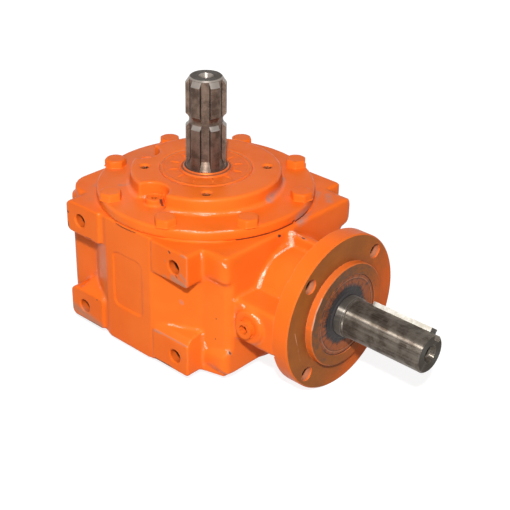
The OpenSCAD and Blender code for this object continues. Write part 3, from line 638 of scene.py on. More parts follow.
def makeEdgeGroup():
    # mask of the ridges of a solid: how far a rounded normal leans from the true one, broken by noise
    w, given, end = newGroup("edgeWear", ("Place",), {"Width": 0.0008, "Broken": 0.5, "Grain": 0.8}, "Mask")
    bevel = w.node("Bevel", {"samples": 6}, Radius=given["Width"]).outputs[0]
    lean = w.minus(1.0, w.vector("DOT_PRODUCT", bevel, w.node("NewGeometry").outputs["Normal"]))
    rough = w.noise(given["Place"], given["Grain"], 4.0, 0.65)
    broken = w.times(w.minus(rough, 0.5), given["Broken"])
    w.fill(end, Mask=w.ramp(w.plus(lean, broken), 0.06, 0.2))
    return w.tree


def makeHighlightSpeckGroup():
    # painted highlight specks where paint has pooled and along the highlight strips: fine noise kept only near its
    # peaks, inside a given mask
    w, given, end = newGroup("highlightSpecks", ("Place",), {"Where": 0.0, "Strip": 0.0, "Grain": 1.4}, "Mask")
    fine = w.noise(given["Place"], given["Grain"], 4.0, 0.75)
    patchy = w.noise(given["Place"], 0.09, 2.0, 0.5)
    where = w.most(w.times(given["Where"], w.ramp(patchy, 0.42, 0.6)), given["Strip"])
    level = w.plus(fine, w.times(where, 0.2))
    w.fill(end, Mask=w.times(w.ramp(level, 0.66, 0.72), w.ramp(where, 0.12, 0.5)))
    return w.tree


patchGroup = makePatchGroup()
holeGroup = makeHoleGroup()
grainGroup = makeGrainGroup()
edgeGroup = makeEdgeGroup()
highlightSpeckGroup = makeHighlightSpeckGroup()


def strips(w, place, lines, rough, mask=0.0, **values):
    # the largest mask of the strips along some lines, and of a mask from before
    for a, b in lines:
        mask = w.group(patchGroup, Place=place, From=a, To=b, Rough=rough, Before=mask, **values)["Mask"]
    return mask


def emptied(owner):
    # the wiring of a material or world without its first nodes
    owner.use_nodes = True
    owner.node_tree.nodes.clear()
    return Wiring(owner.node_tree)


def newMaterial(name):
    material = bpy.data.materials.new(name)
    w = emptied(material)
    shader = w.node("BsdfPrincipled")
    w.node("OutputMaterial", Surface=shader.outputs[0])
    place = w.scaled(w.node("TexCoord").outputs["Object"], 1000.0)  # in millimetres
    return material, w, shader, place


def wear(material, items):
    # puts a material on each of a list of pieces or node names
    for item in items:
        data = (nodes[item] if isinstance(item, str) else item).data
        data.materials.clear()
        data.materials.append(material)


paintLook = {
    "colour": (0.88, 0.148, 0.012),
    "pale": (0.93, 0.178, 0.020),
    # painted shade of the hollows
    "hollowShade": (0.70, 0.085, 0.006),
    # painted shade inside holes and sockets: darker orange near the mouth, darker brown in the threads, near black
    # deeper in
    "hole": (0.62, 0.110, 0.014),
    "thread": (0.40, 0.10, 0.025),
    "dark": (0.035, 0.018, 0.012),
    # painted highlight: the pale tone of the specks
    "highlightTone": (1.0, 0.84, 0.68),
    "roughness": 0.36,
    "gloss": 0.06,
    "coat": 0.07,
    "coatPooled": 0.5,
    "coatRoughness": 0.28,
    "grain": 0.12,
    "ripple": 6.0,
    "guardHalf": 37.48,  # from the middle of the hub to its four holes, along X and along Y
}

# where the paint is dusty or carries a painted sheen, smeared, worn through or chipped: from one point to another,
# reach, softness, strength
paintMarks = {
    # pale dust, partly a painted sheen of reflected light on the cover's top and a side strip
    "dust": ((0.64, 0.23, 0.105), [
        ((-34, -91, 78), (-32, -91, 34), 7.0, 0.9, 0.38), ((-60, -44, 127), (-20, -78, 127), 20.0, 0.95, 0.24),
        ((-75, -45, 127), (-82, 10, 127), 24.0, 0.95, 0.34), ((-60, -80, 117), (-74, -62, 117), 12.0, 0.9, 0.35),
        ((-70, 60, 118), (-80, 30, 118), 14.0, 0.9, 0.45), ((12, -68, 127), (24, -76, 127), 10.0, 0.9, 0.30),
    ]),
    "smear": ((0.34, 0.25, 0.22), [
        ((44, 49, 130), (66, 8, 130), 6.5, 0.9, 0.95), ((70, 64, 119), (96, 14, 119), 8.0, 0.9, 0.9),
        ((80.8, 69.4, 117.5), (90, 60, 117.5), 5.0, 0.9, 0.55), ((90.4, -31, 129), (90.8, -30, 133), 2.6, 0.7, 0.7),
        ((54.5, -84.5, 64.4), (55.5, -84.5, 63), 2.6, 0.8, 0.6), ((-76, -60, 118), (-80, -50, 118), 5.0, 0.9, 0.45),
        ((-46, -58, 127), (-40, -50, 127), 4.0, 0.9, 0.40),
    ]),
    "bare": ((0.33, 0.23, 0.165), [
        ((57, -95.5, 92.0), (70, -95.5, 89.5), 4.6, 0.75, 0.9), ((66, -95.5, 98), (71, -95.5, 95), 3.2, 0.8, 0.65),
        ((46.7, -95.5, 89.8), (48, -95.5, 89.5), 2.6, 0.8, 0.6),
        ((72.8, -95.5, 116), (72.8, -95.5, 90), 1.0, 0.6, 0.7),
        ((67, -95.5, 116.5), (72, -95.5, 116.5), 1.8, 0.7, 0.65), ((48, -95.5, 105), (49, -95.5, 104), 1.2, 0.8, 0.4),
        ((-72, -95.5, 10.5), (-38, -95.5, 4.4), 7.0, 0.9, 0.85), ((-62, -95.5, 10), (-54, -95.5, 6), 6.6, 0.9, 0.6),
        ((33, -95.5, 32.0), (40, -95.5, 32.4), 2.0, 0.7, 0.8), ((40, -95.0, 32.6), (72, -95.0, 32.6), 1.2, 0.7, 0.7),
        ((72.8, -95.5, 31), (72.8, -95.5, 8), 0.8, 0.6, 0.5), ((54, -95.5, 3.0), (73, -95.5, 3.0), 1.0, 0.6, 0.7),
        ((110, -2, 114.5), (118, -2, 113.5), 1.4, 0.7, 0.6), ((96.5, -71.5, 28.6), (98, -71, 26.5), 2.2, 0.6, 0.9),
    ]),
    "chip": ((0.05, 0.036, 0.03), [
        ((97.8, -14.2, 115.0), (98, -13.0, 114.6), 1.5, 0.4, 1.0),
        ((112.6, -2.2, 114.4), (114.6, -2.2, 114.0), 1.0, 0.5, 0.85),
        ((94.7, 7.9, 119.9), (94.7, 6.2, 119.6), 0.8, 0.4, 0.95),
        ((42.4, -85.0, 118.2), (42.8, -85, 118), 0.7, 0.4, 0.9),
        ((52.6, -95.5, 114.9), (53.8, -95.5, 113.9), 0.9, 0.4, 0.95),
        ((85.1, -74.5, 56.6), (85.1, -74.5, 56.4), 0.7, 0.4, 0.8),
        ((84.5, -74.6, 36.9), (84.5, -74.6, 36.7), 0.8, 0.4, 0.8),
        ((-75.0, -95.5, 113.6), (-75.0, -95.5, 111.6), 1.5, 0.5, 0.95),
        ((-75.4, -95.5, 106.4), (-72.5, -95.5, 105.4), 1.1, 0.5, 0.85),
        ((-74.6, -95.5, 94.8), (-74.2, -95.5, 92.0), 1.9, 0.5, 0.95),
        ((-40.2, -95.5, 30.7), (-40.2, -95.5, 30.2), 0.7, 0.4, 0.8),
        ((97.6, -71.0, 27.6), (98.2, -70.6, 26.6), 1.3, 0.5, 0.9),
        ((33.5, -94.6, 3.3), (52, -94.6, 3.3), 2.2, 0.5, 0.95),
        ((-75.9, -94.5, 24), (-75.9, -94.5, 9), 1.2, 0.5, 0.7),
        ((-74, -94.8, 3.2), (-36, -94.8, 3.2), 1.5, 0.5, 0.9),
        ((8.2, -61.5, 133.0), (8.6, -60.2, 128.6), 2.2, 0.6, 0.85),
        ((-50, -95.5, 89.2), (-44, -95.5, 89.4), 0.6, 0.5, 0.6),
        ((60, -95.5, 95.5), (61.5, -95.5, 94.5), 0.8, 0.5, 0.6),
    ]),
}

raggedness = {"chip": 1.7, "bare": 2.8}  # of the marks with a finely broken edge, in their reach


def marked(w, place, colour, marks):
    # lays each kind of mark over the colour: the largest mask of its strips, mottled by noise
    coarse = w.noise(place, 0.16, 5.0, 0.68)
    fine = w.noise(place, 0.9, 5.0, 0.72)
    for kind, (tone, stretches) in marks.items():
        mask = 0.0
        for a, b, reach, soft, strength in stretches:
            mask = strips(w, place, [(a, b)], fine if kind in raggedness else coarse, mask, Reach=reach, Soft=soft,
                          Strength=strength, Ragged=reach * raggedness.get(kind, 1.2))
        if kind != "chip":
            mask = w.times(mask, w.ramp(fine if kind == "bare" else coarse, 0.34, 0.62, 0.35, 1.0))
        colour = w.mix(mask, colour, tone)
    return colour


levelY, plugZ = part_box("level_plug")[0].y / mm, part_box("cover_plugs")[1].z / mm
# painted shade: each socket is coloured dark from its mouth to its floor
socketPlaces = [  # from the mouth to the floor of each socket, and its reach, in millimetres
    ((114.5, levelY + 1.6, axisH / mm - 2), (114.5, levelY + 8, axisH / mm - 2), 4.4),
    ((0, -61, plugZ - 1.8), (0, -61, plugZ - 8), 3.6),
    ((-59.2, -14.8, plugZ - 1.8), (-59.2, -14.8, plugZ - 8), 3.6),
]


def paintMaterial(name, look, skin):
    # orange paint; on the cast skins also glossier pooled paint in the hollows with painted shade and painted highlight
    # specks there, thin edges, marks, and painted shade inside the holes; on the plain paint painted shade inside the
    # plug sockets
    material, w, shader, place = newMaterial(name)
    grain = w.group(grainGroup, Place=place)
    colour = w.mix(w.ramp(grain["Cloud"], 0.35, 0.7), look["colour"], look["pale"])
    roughness = w.ramp(w.noise(place, 0.08, 3.0, 0.6), 0.3, 0.7, look["roughness"] - 0.06, look["roughness"] + 0.08)
    height, coat = grain["Height"], look["coat"]
    if skin:
        hollow, ridge, highlightStrip = (w.node("Attribute", {"attribute_name": n}).outputs["Fac"] for n in skinAttributes)
        highlightSpeck = w.group(highlightSpeckGroup, Place=place, Where=w.times(hollow, 0.7), Strip=highlightStrip)["Mask"]
        # painted shade: the colour darkens towards the deepest hollows
        colour = w.mix(w.times(w.ramp(hollow, 0.3, 1.0), 0.22), colour, look["hollowShade"])
        # painted highlight: pale specks in the hollows and along the highlight strips, where the roughness also drops
        # and the bump rises
        colour = w.mix(w.times(highlightSpeck, 0.9), colour, look["highlightTone"])
        roughness = w.minus(roughness, w.times(highlightSpeck, 0.2))
        pooled = w.most(w.ramp(hollow, 0.15, 0.7), w.ramp(ridge, 0.2, 0.8, 0.0, 0.5))
        ripple = w.times(w.noise(place, 0.75, 3.0, 0.65), w.times(pooled, look["ripple"]))
        height = w.plus(w.plus(height, ripple), w.times(highlightSpeck, 1.3))
        coat = w.ramp(pooled, 0.0, 1.0, look["coat"], look["coatPooled"])
        x, y, z = w.parts(place)
        side = w.group(holeGroup, Across=x, Up=w.minus(z, sideHoles["middle"] / mm), Reach=6.7,
                       Behind=w.minus(bossY / mm, w.math("ABSOLUTE", y)),
                       HalfAcross=sideHoles["halfX"] / mm, HalfUp=sideHoles["halfZ"] / mm)["Depth"]
        # painted shade inside the side holes: darker orange from the mouth in, near black deeper in
        colour = w.mix(w.ramp(side, 0.3, 2.0), colour, look["hole"])
        colour = w.mix(w.ramp(side, 6.2, 8.0), colour, look["dark"])
        guard = w.group(holeGroup, Across=x, Up=y, Behind=w.minus(hubZ / mm, z), Reach=5.0,
                        HalfAcross=look["guardHalf"], HalfUp=look["guardHalf"])["Depth"]
        # painted shade inside the hub's four holes: darker brown with dark thread specks, near black deeper in
        colour = w.mix(w.ramp(guard, 1.2, 2.2), colour, look["thread"])
        thread = w.times(w.ramp(guard, 1.0, 2.0), w.ramp(w.noise(place, 0.8, 3.0), 0.5, 0.6))
        colour = w.mix(w.most(w.ramp(guard, 3.0, 4.5), thread), colour, look["dark"])
        colour = marked(w, place, colour, paintMarks)
    else:
        rough = w.noise(place, 0.7, 3.0, 0.6)
        # painted shade inside the plug sockets
        for a, b, reach in socketPlaces:
            socket = strips(w, place, [(a, b)], rough, Reach=reach, Soft=0.35, Ragged=1.5)
            colour = w.mix(socket, colour, look["dark"])
    w.fill(shader, Base_Color=colour, Roughness=roughness, Coat_Weight=coat, Coat_Roughness=look["coatRoughness"],
           Specular_IOR_Level=look["gloss"], Normal=w.bump(0.35, look["grain"], height))
    return material


castPaint = paintMaterial("castPaint", paintLook, True)
plainPaint = paintMaterial("plainPaint", paintLook, False)

gasketLook = {
    "dark": (0.035, 0.025, 0.02),
    "bare": [((84, -46, 118), (95, -20, 118)), ((95, -14, 118), (97, 6, 118)), ((95, 14, 118), (86, 44, 118))],
}


def gasketMaterial(paint, look):
    # painted over, but for one stretch by the output neck where the dark gasket shows
    material, w, shader, place = newMaterial("gasketPaint")
    rough = w.noise(place, 0.5, 5.0, 0.7)
    bare = strips(w, place, look["bare"], rough, Reach=4.0, Soft=0.3, Strength=0.85, Ragged=8.0)
    w.fill(shader, Base_Color=w.mix(bare, paint["pale"], look["dark"]), Roughness=0.5,
           Specular_IOR_Level=paint["gloss"])
    return material


gasketPaint = gasketMaterial(paintLook, gasketLook)

flangeLook = {
    "brown": (0.305, 0.092, 0.018),
    "brownPale": (0.365, 0.114, 0.024),
    "orange": (0.72, 0.125, 0.014),
    "ring": (0.200, 0.066, 0.022),
    "grime": (0.125, 0.072, 0.046),
    "spigotSide": (0.62, 0.145, 0.030),
    "edge": (0.85, 0.42, 0.24),
    # painted shade inside the flange's holes
    "hole": (0.46, 0.17, 0.085),
    "deepHole": (0.025, 0.014, 0.01),
    "holeReach": 7.2,
    "holeHalf": 58.0 / 2 ** 0.5,  # from the middle to the four holes, level and upwards
    # painted highlight along the spigot's edge: its tone, and the lines it follows
    "highlightTone": (0.95, 0.74, 0.58),
    "highlightLines": [((161.6, -44.8, 66.0), (161.6, -41.0, 79.6)), ((161.6, -41.0, 79.6), (161.6, -34.0, 90.3))],
    "scratch": ((155.3, -50, 36), (155.3, -58, 66)),
}


def flangeMaterial(paint, look):
    # paint on the rim; on the faces that look along the output shaft thin brown paint over turning marks, which
    # turns to full orange towards the side away from the key lamp, and grime round the spigot; a painted highlight
    # along the spigot's edge and painted shade inside the holes
    material, w, shader, place = newMaterial("flangePaint")
    x, y, z = w.parts(place)
    up = w.minus(z, axisH / mm)
    radius = w.vector("LENGTH", w.join(Y=y, Z=up))
    face = w.ramp(w.parts(w.node("NewGeometry").outputs["Normal"])["X"], 0.6, 0.95)
    cloud = w.noise(place, 0.045, 4.0, 0.6)
    across = w.plus(w.times(y, 0.9), w.times(up, -0.45))
    across = w.plus(across, w.times(w.minus(cloud, 0.5), 50.0))
    brown = w.mix(w.ramp(cloud, 0.35, 0.7), look["brown"], look["brownPale"])
    brown = w.mix(w.ramp(across, 0.0, 60.0), brown, look["orange"])
    rings = w.lines(radius, 1.6, 4.0, 0.7)
    brown = w.mix(w.times(w.ramp(rings, 0.45, 0.75), 0.3), brown, look["ring"])
    front = flangeX / mm
    onSpigot = w.times(face, w.ramp(x, front + 3, front + 4))
    swirl = w.join(X=w.times(w.math("ARCTAN2", y, up), 6.0), Y=w.times(radius, 0.25))
    swirl = w.noise(swirl, 1.0, 5.0, 0.65)
    grimy = w.plus(swirl, w.times(w.minus(up, y), 0.0035))
    brown = w.mix(w.times(onSpigot, w.ramp(grimy, 0.45, 0.75, 0.08, 0.85)), brown, look["grime"])
    onFlange = w.times(w.ramp(radius, 52.0, 46.0), w.minus(1.0, onSpigot))
    brown = w.mix(w.times(onFlange, w.ramp(grimy, 0.4, 0.75, 0.0, 0.5)), brown, look["ring"])
    scratch = strips(w, place, [look["scratch"]], cloud, Reach=0.7, Soft=0.8, Strength=0.55, Ragged=1.2)
    brown = w.mix(w.times(scratch, w.ramp(swirl, 0.4, 0.6)), brown, look["edge"])
    # painted highlight: pale thin lines along the spigot's front edge
    highlightMask = strips(w, place, look["highlightLines"], cloud, Reach=1.3, Soft=0.9, Strength=0.75, Ragged=1.0)
    brown = w.mix(highlightMask, brown, look["highlightTone"])
    grain = w.group(grainGroup, Place=place)
    colour = w.mix(w.ramp(grain["Cloud"], 0.35, 0.7), paint["colour"], paint["pale"])
    step = w.times(w.ramp(radius, 48.0, 46.5), w.ramp(x, front - 0.2, front + 0.2))
    colour = w.mix(w.times(step, w.ramp(grimy, 0.45, 0.75, 0.25, 0.8)), colour, look["spigotSide"])
    colour = w.mix(face, colour, brown)
    depth = w.group(holeGroup, Across=y, Up=up, Behind=w.minus(front, x), HalfAcross=look["holeHalf"],
                    HalfUp=look["holeHalf"], Reach=look["holeReach"])["Depth"]
    # painted shade inside the flange's holes: a duller tone from the mouth in, near black deeper in
    colour = w.mix(w.ramp(depth, 0.2, 2.5), colour, look["hole"])
    colour = w.mix(w.ramp(depth, 5.2, 7.6), colour, look["deepHole"])
    edge = w.group(edgeGroup, Place=place, Width=0.8 * mm, Broken=0.5)["Mask"]
    colour = w.mix(w.times(edge, 0.3), colour, look["edge"])
    height = w.plus(w.times(grain["Height"], w.minus(1.0, face)), w.times(w.times(rings, 0.5), face))
    w.fill(shader, Base_Color=colour, Roughness=w.ramp(cloud, 0.3, 0.7, 0.36, 0.48),
           Specular_IOR_Level=paint["gloss"], Coat_Weight=w.ramp(face, 0.0, 1.0, paint["coat"], 0.0),
           Coat_Roughness=paint["coatRoughness"], Normal=w.bump(0.3, 0.1, height))
    return material


flangePaint = flangeMaterial(paintLook, flangeLook)

shaftLines = {"X": (0, 0, axisH / mm), "Z": (0, 0, 0)}  # a point on the middle line of each shaft
steelLook = {
    "axis": "Z", "marks": 3.0, "stainScale": 0.06, "bands": [], "edgeWidth": 0.7, "edgeStrength": 0.6,
    "streaks": 8.0, "streakStrength": 0.0, "bore": 0.0, "boreTo": 0.0, "slopeFrom": 0.0, "slopeHighlight": 0.0,
    "metallic": 1.0, "endMetallic": 1.0, "anisotropic": 0.0, "roughness": 0.4,
}


def steelMaterial(name, own):
    # metal turned about an axis: fine rings along it, oily stains, streaks, bright worn edges, bands of other tones, a
    # painted highlight on faces that lean towards the axis, and painted shade on the end faces and in the centre bore
    look = {**steelLook, **own}
    material, w, shader, place = newMaterial(name)
    local = w.vector("SUBTRACT", place, shaftLines[look["axis"]])
    parts = w.parts(local)
    along = parts[look["axis"]]
    marks = w.lines(along, look["marks"])
    stain = w.noise(local, look["stainScale"], 6.0, 0.64)
    patchy = w.noise(local, look["stainScale"] * 3.5, 5.0, 0.7)
    stained = w.ramp(w.plus(w.times(stain, 0.7), w.times(patchy, 0.3)), 0.42, 0.6)
    colour = w.mix(stained, look["colour"], look["stain"])
    colour = w.mix(w.ramp(marks, 0.56, 0.72, 0.0, 0.25), colour, look["stain"])
    others = {n: parts[n] for n in "XYZ" if n != look["axis"]}
    drawn = w.times(w.math("ARCTAN2", *others.values()), look["streaks"])
    drawn = w.noise(w.join(X=drawn, Y=w.times(along, 0.012)), 1.0, 3.0, 0.6)
    colour = w.mix(w.ramp(drawn, 0.35, 0.65, 0.0, look["streakStrength"]), colour, look["edge"])
    edge = w.group(edgeGroup, Place=place, Width=look["edgeWidth"] * mm, Broken=0.3)["Mask"]
    for low, high, strength, tone in look["bands"]:
        middle, half = (low + high) / 2, (high - low) / 2
        colour = w.mix(w.ramp(w.off(along, middle), half - 0.3, half + 0.3, strength, 0.0), colour, tone)
    colour = w.mix(w.times(edge, look["edgeStrength"]), colour, look["edge"])
    axis = w.join(**{look["axis"]: 1.0})
    leaning = w.vector("DOT_PRODUCT", w.node("NewGeometry").outputs["Normal"], axis)
    # painted highlight: past a given height, faces that lean up along the axis take the pale edge tone
    upSlopeHighlight = w.times(w.ramp(leaning, 0.25, 0.4), w.ramp(along, look["slopeFrom"] - 1, look["slopeFrom"]))
    colour = w.mix(w.times(upSlopeHighlight, look["slopeHighlight"]), colour, look["edge"])
    # painted shade: faces that look along the axis, and the centre bore, take a dark tone that stands for the dark
    # surroundings they reflect
    ending = w.ramp(w.math("ABSOLUTE", leaning), 0.75, 0.95)
    across = w.join(**others)
    reach = w.vector("LENGTH", across)
    endShade = w.mix(w.ramp(w.lines(reach, 2.4), 0.35, 0.7), look["end"], look["endPale"])
    colour = w.mix(ending, colour, endShade)
    bore = w.ramp(along, look["boreTo"], look["boreTo"] - 3)
    bore = w.times(w.ramp(reach, look["bore"] + 0.3, look["bore"]), bore)
    colour = w.mix(bore, colour, look["end"])
    ending = w.most(ending, bore)
    rough = w.ramp(w.plus(w.times(marks, 0.4), w.times(stain, 0.6)), 0.3, 0.7,
                   look["roughness"] - 0.08, look["roughness"] + 0.14)
    metallic = look["metallic"]
    if look["endMetallic"] != metallic:
        metallic = w.ramp(ending, 0.0, 1.0, metallic, look["endMetallic"])
    onSide = w.scaled(axis, w.minus(1.0, ending))
    onEnd = w.scaled(w.vector("CROSS_PRODUCT", axis, across), ending)
    w.fill(shader, Base_Color=colour, Roughness=rough, Metallic=metallic, Specular_IOR_Level=0.12,
           Anisotropic=look["anisotropic"], Tangent=w.vector("ADD", onSide, onEnd),
           Normal=w.bump(0.2, 0.05, w.plus(marks, w.times(stain, 0.2))))
    return material
outputSteel = steelMaterial("outputSteel", {
    "axis": "X", "colour": (0.165, 0.140, 0.113), "stain": (0.070, 0.052, 0.038),
    "edge": (0.40, 0.37, 0.33), "end": (0.045, 0.037, 0.028), "endPale": (0.085, 0.072, 0.056),
    # lighter rings at the seal seat and the step: ground steel, partly a painted highlight
    "bands": [(161, 166.8, 0.5, (0.23, 0.21, 0.185)), (167.2, 168.2, 0.6, (0.34, 0.32, 0.29))],
    "bore": 5.6, "boreTo": 242.8, "roughness": 0.42, "anisotropic": 1.0, "endMetallic": 0.15, "streaks": 14.0,
    "streakStrength": 0.16})
splineSteel = steelMaterial("splineSteel", {
    "marks": 1.2, "stainScale": 0.09, "colour": (0.175, 0.125, 0.095), "stain": (0.085, 0.060, 0.046),
    "edge": (0.42, 0.38, 0.345), "end": (0.040, 0.030, 0.022), "endPale": (0.085, 0.068, 0.054),
    # painted highlight on the upward sloping chamfers near the top
    "slopeFrom": 175.0, "slopeHighlight": 0.62,
    # an orange painted collar, then a slightly paler ring at the tooth runout that is partly a painted highlight
    "bands": [(140, 143.4, 1.0, (0.80, 0.16, 0.03)), (143.6, 147.5, 0.2, (0.18, 0.14, 0.115))],
    "roughness": 0.42, "metallic": 0.85, "anisotropic": 0.5, "endMetallic": 0.2})
gearSteel = steelMaterial("gearSteel", {
    "marks": 2.0, "stainScale": 0.05, "colour": (0.36, 0.35, 0.33), "stain": (0.22, 0.2, 0.18),
    "edge": (0.5, 0.49, 0.47), "end": (0.3, 0.29, 0.27), "endPale": (0.38, 0.37, 0.35), "anisotropic": 0.3})
keySteel = steelMaterial("keySteel", {
    "axis": "X", "marks": 2.0, "stainScale": 0.08, "metallic": 0.5,
    "colour": (0.86, 0.83, 0.76), "stain": (0.62, 0.57, 0.48), "edge": (0.9, 0.88, 0.83),
    "end": (0.05, 0.042, 0.034), "endPale": (0.11, 0.095, 0.08), "endMetallic": 0.2})
ringSteel = steelMaterial("ringSteel", {
    "axis": "X", "marks": 2.0, "stainScale": 0.1, "colour": (0.12, 0.12, 0.13),
    "stain": (0.07, 0.06, 0.06), "edge": (0.3, 0.3, 0.3), "end": (0.1, 0.1, 0.1),
    "endPale": (0.14, 0.14, 0.14)})
bearingSteel = steelMaterial("bearingSteel", {
    "marks": 5.0, "stainScale": 0.05, "colour": (0.66, 0.66, 0.67), "stain": (0.5, 0.5, 0.5),
    "edge": (0.8, 0.8, 0.8), "end": (0.6, 0.6, 0.6), "endPale": (0.66, 0.66, 0.66), "roughness": 0.2})
cageBrass = steelMaterial("cageBrass", {
    "stainScale": 0.08, "colour": (0.62, 0.45, 0.2), "stain": (0.42, 0.29, 0.12),
    "edge": (0.8, 0.62, 0.32), "end": (0.55, 0.4, 0.18), "endPale": (0.62, 0.45, 0.2), "roughness": 0.34})


def greaseMaterial(name, axis, look):
    # painted seal round a shaft: grease by the lip, thinning outwards in fine radial streaks, and a line where it
    # meets its seat
    material, w, shader, place = newMaterial(name)
    parts = w.parts(w.vector("SUBTRACT", place, shaftLines[axis]))
    a, b = (parts[n] for n in "XYZ" if n != axis)
    radius, turn = w.hypot(a, b), w.math("ARCTAN2", a, b)
    streak = w.noise(w.join(X=w.times(turn, look["streaks"]), Y=w.times(radius, 0.10)), 1.0, 4.0, 0.7)
    ray = w.noise(w.join(X=w.times(turn, look["rays"]), Y=w.times(radius, 0.03)), 1.0, 2.0, 0.6)
    cloud = w.noise(place, 0.1, 4.0, 0.6)
    lean = w.times(w.minus(b, a), look["lean"])
    wide = w.plus(w.plus(look["reach"], lean), w.times(w.minus(streak, 0.5), look["ragged"]))
    inner = w.ramp(radius, w.minus(wide, look["fade"]), w.plus(wide, 1.2), 1.0, 0.0)
    paint = w.mix(w.ramp(cloud, 0.35, 0.7), look["colour"], look["pale"])
    smoke = w.ramp(w.plus(streak, w.times(lean, 0.04)), 0.45, 0.7, 0.0, look["smoke"])
    paint = w.mix(smoke, paint, look["grease"])
    colour = w.mix(w.times(inner, look["strength"]), paint, look["grease"])
    onRibs = w.times(w.ramp(radius, look["inner"], look["inner"] + 3.0), w.ramp(radius, 32.0, 29.0))
    colour = w.mix(w.times(w.times(w.ramp(ray, 0.66, 0.72), onRibs), look["rayStrength"]), colour, look["ray"])
    for at, half, tone in look["lines"]:
        line = w.ramp(w.off(radius, at), half * 0.5, half, 0.8, 0.0)
        colour = w.mix(w.times(line, w.ramp(cloud, 0.3, 0.5, 0.35, 1.0)), colour, tone)
    w.fill(shader, Base_Color=colour, Roughness=w.ramp(cloud, 0.3, 0.7, 0.38, 0.55), Specular_IOR_Level=0.14,
           Normal=w.bump(0.25, 0.08, w.plus(cloud, w.noise(place, 1.2, 3.0, 0.6))))
    return material


outputSealPaint = greaseMaterial("outputSealPaint", "X", {
    "streaks": 9.0, "reach": 27.0, "ragged": 9.5, "fade": 3.4, "strength": 0.97, "lean": 0.045, "smoke": 0.75,
    "grease": (0.036, 0.036, 0.038), "colour": (0.30, 0.080, 0.024), "pale": (0.36, 0.100, 0.032),
    "rays": 24.0, "ray": (0.50, 0.19, 0.085), "rayStrength": 0.8, "inner": 20.0,
    "lines": [(35.6, 0.5, (0.05, 0.03, 0.02)), (31.9, 0.35, (0.10, 0.05, 0.03)), (32.8, 0.35, (0.46, 0.20, 0.10))]})
inputSealPaint = greaseMaterial("inputSealPaint", "Z", {
    "streaks": 5.0, "reach": 21.8, "ragged": 2.5, "fade": 1.6, "strength": 0.75, "lean": 0.0, "smoke": 0.12,
    "grease": (0.16, 0.085, 0.05), "colour": (0.86, 0.140, 0.012), "pale": (0.90, 0.172, 0.024),
    "rays": 9.0, "ray": (0.95, 0.30, 0.09), "rayStrength": 0.25, "inner": 22.0,
    "lines": [(39.4, 0.5, (0.62, 0.19, 0.07)), (20.9, 0.6, (0.20, 0.09, 0.05))]})
print("materials made")


# Seals: rings whose top face is a height function of radius and angle, closed by a skirt underneath

def sealRing(name, look, place, centre, body):
    # the height is a sum of smooth steps and grooves in the radius, plus narrow radial ribs at even angles
    turn = wholeTurn(look["around"])
    radius = np.linspace(look["inner"], look["outer"], look["across"])[:, None]
    height = np.zeros_like(radius) + 0 * turn
    for at, width, rise in look["steps"]:
        height = height + rise / (1 + np.exp(-(radius - at) / width))
    for at, width, depth in look["grooves"]:
        height = height - depth * np.exp(-((radius - at) / width) ** 2)
    low, high, tall, halfWidth = look["ribs"]
    halfGap = np.pi / look["ribCount"]
    gap = (turn - look["ribTurn"] + halfGap) % (2 * halfGap) - halfGap
    ridge = tall * np.exp(-((gap * radius) / halfWidth) ** 2)
    ends = (1 + np.exp((low - radius) / look["ribSoft"])) * (1 + np.exp((radius - high) / look["ribSoft"]))
    height = height + ridge / ends
    skirt = np.array([look["outer"], look["inner"]])[:, None]
    radius = np.concatenate([radius + 0 * turn, skirt + 0 * turn])
    height = np.concatenate([height, np.full((2, look["around"]), -look["depth"])])
    points = place(radius, turn + 0 * radius, height, centre)
    faces = gridFaces(len(radius), look["around"], closeRows=True)
    return pieceFrom(name, points.reshape(-1, 3), faces, body)


inputSealLook = {
    "around": 480, "across": 84, "inner": 20.1 * mm, "outer": 39.9 * mm, "depth": 8 * mm,
    "steps": [(22.4 * mm, 0.16 * mm, -1.5 * mm), (23.6 * mm, 0.2 * mm, 0.6 * mm), (36.6 * mm, 0.2 * mm, 0.3 * mm)],
    "grooves": [(39.0 * mm, 0.28 * mm, 0.5 * mm), (20.8 * mm, 0.35 * mm, 0.5 * mm)],
    "ribs": (25.0 * mm, 32.0 * mm, 0.85 * mm, 0.55 * mm), "ribCount": 12, "ribTurn": 0.447, "ribSoft": 0.4 * mm,
}
inputSeal = sealRing("inputSealRing", inputSealLook, aboutZ, (0, 0, hubZ + 0.6 * mm), "housing")
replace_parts(inputSeal, "input_seal")
wear(inputSealPaint, [inputSeal])

outputSealLook = {
    "around": 480, "across": 84, "inner": 17.6 * mm, "outer": 35.9 * mm, "depth": 8 * mm,
    "steps": [(20.0 * mm, 0.3 * mm, -1.0 * mm), (31.4 * mm, 0.2 * mm, 0.7 * mm)],
    "grooves": [(35.2 * mm, 0.25 * mm, 0.5 * mm), (32.0 * mm, 0.2 * mm, 0.25 * mm), (24.0 * mm, 0.8 * mm, 0.25 * mm)],
    "ribs": (22.0 * mm, 29.0 * mm, 0.22 * mm, 0.35 * mm), "ribCount": 24, "ribTurn": 0.05, "ribSoft": 0.4 * mm,
}
spigotFace = (spigotX - 0.1 * mm, 0, axisH)
outputSeal = sealRing("outputSealRing", outputSealLook, aboutX, spigotFace, "housing")
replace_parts(outputSeal, "output_seal")
wear(outputSealPaint, [outputSeal])
print("seals made")


# Cover bolts: softly cornered hexagon heads with a rounded crown and a fillet of paint at the foot

boltLook = {
    "count": 8, "circle": 87 * mm, "halfWidth": 8.5 * mm, "tall": 6.6 * mm, "turns": (5, 2, 29, 41, 29, 5, 32, 29),
    "around": 72, "foot": 0.9 * mm, "crown": 0.5 * mm, "base": 9.3 * mm,  # above the gasket
    "flat": 0.93, "slope": 30,  # the share of the half width in which the top is level, and its fall outside it
}


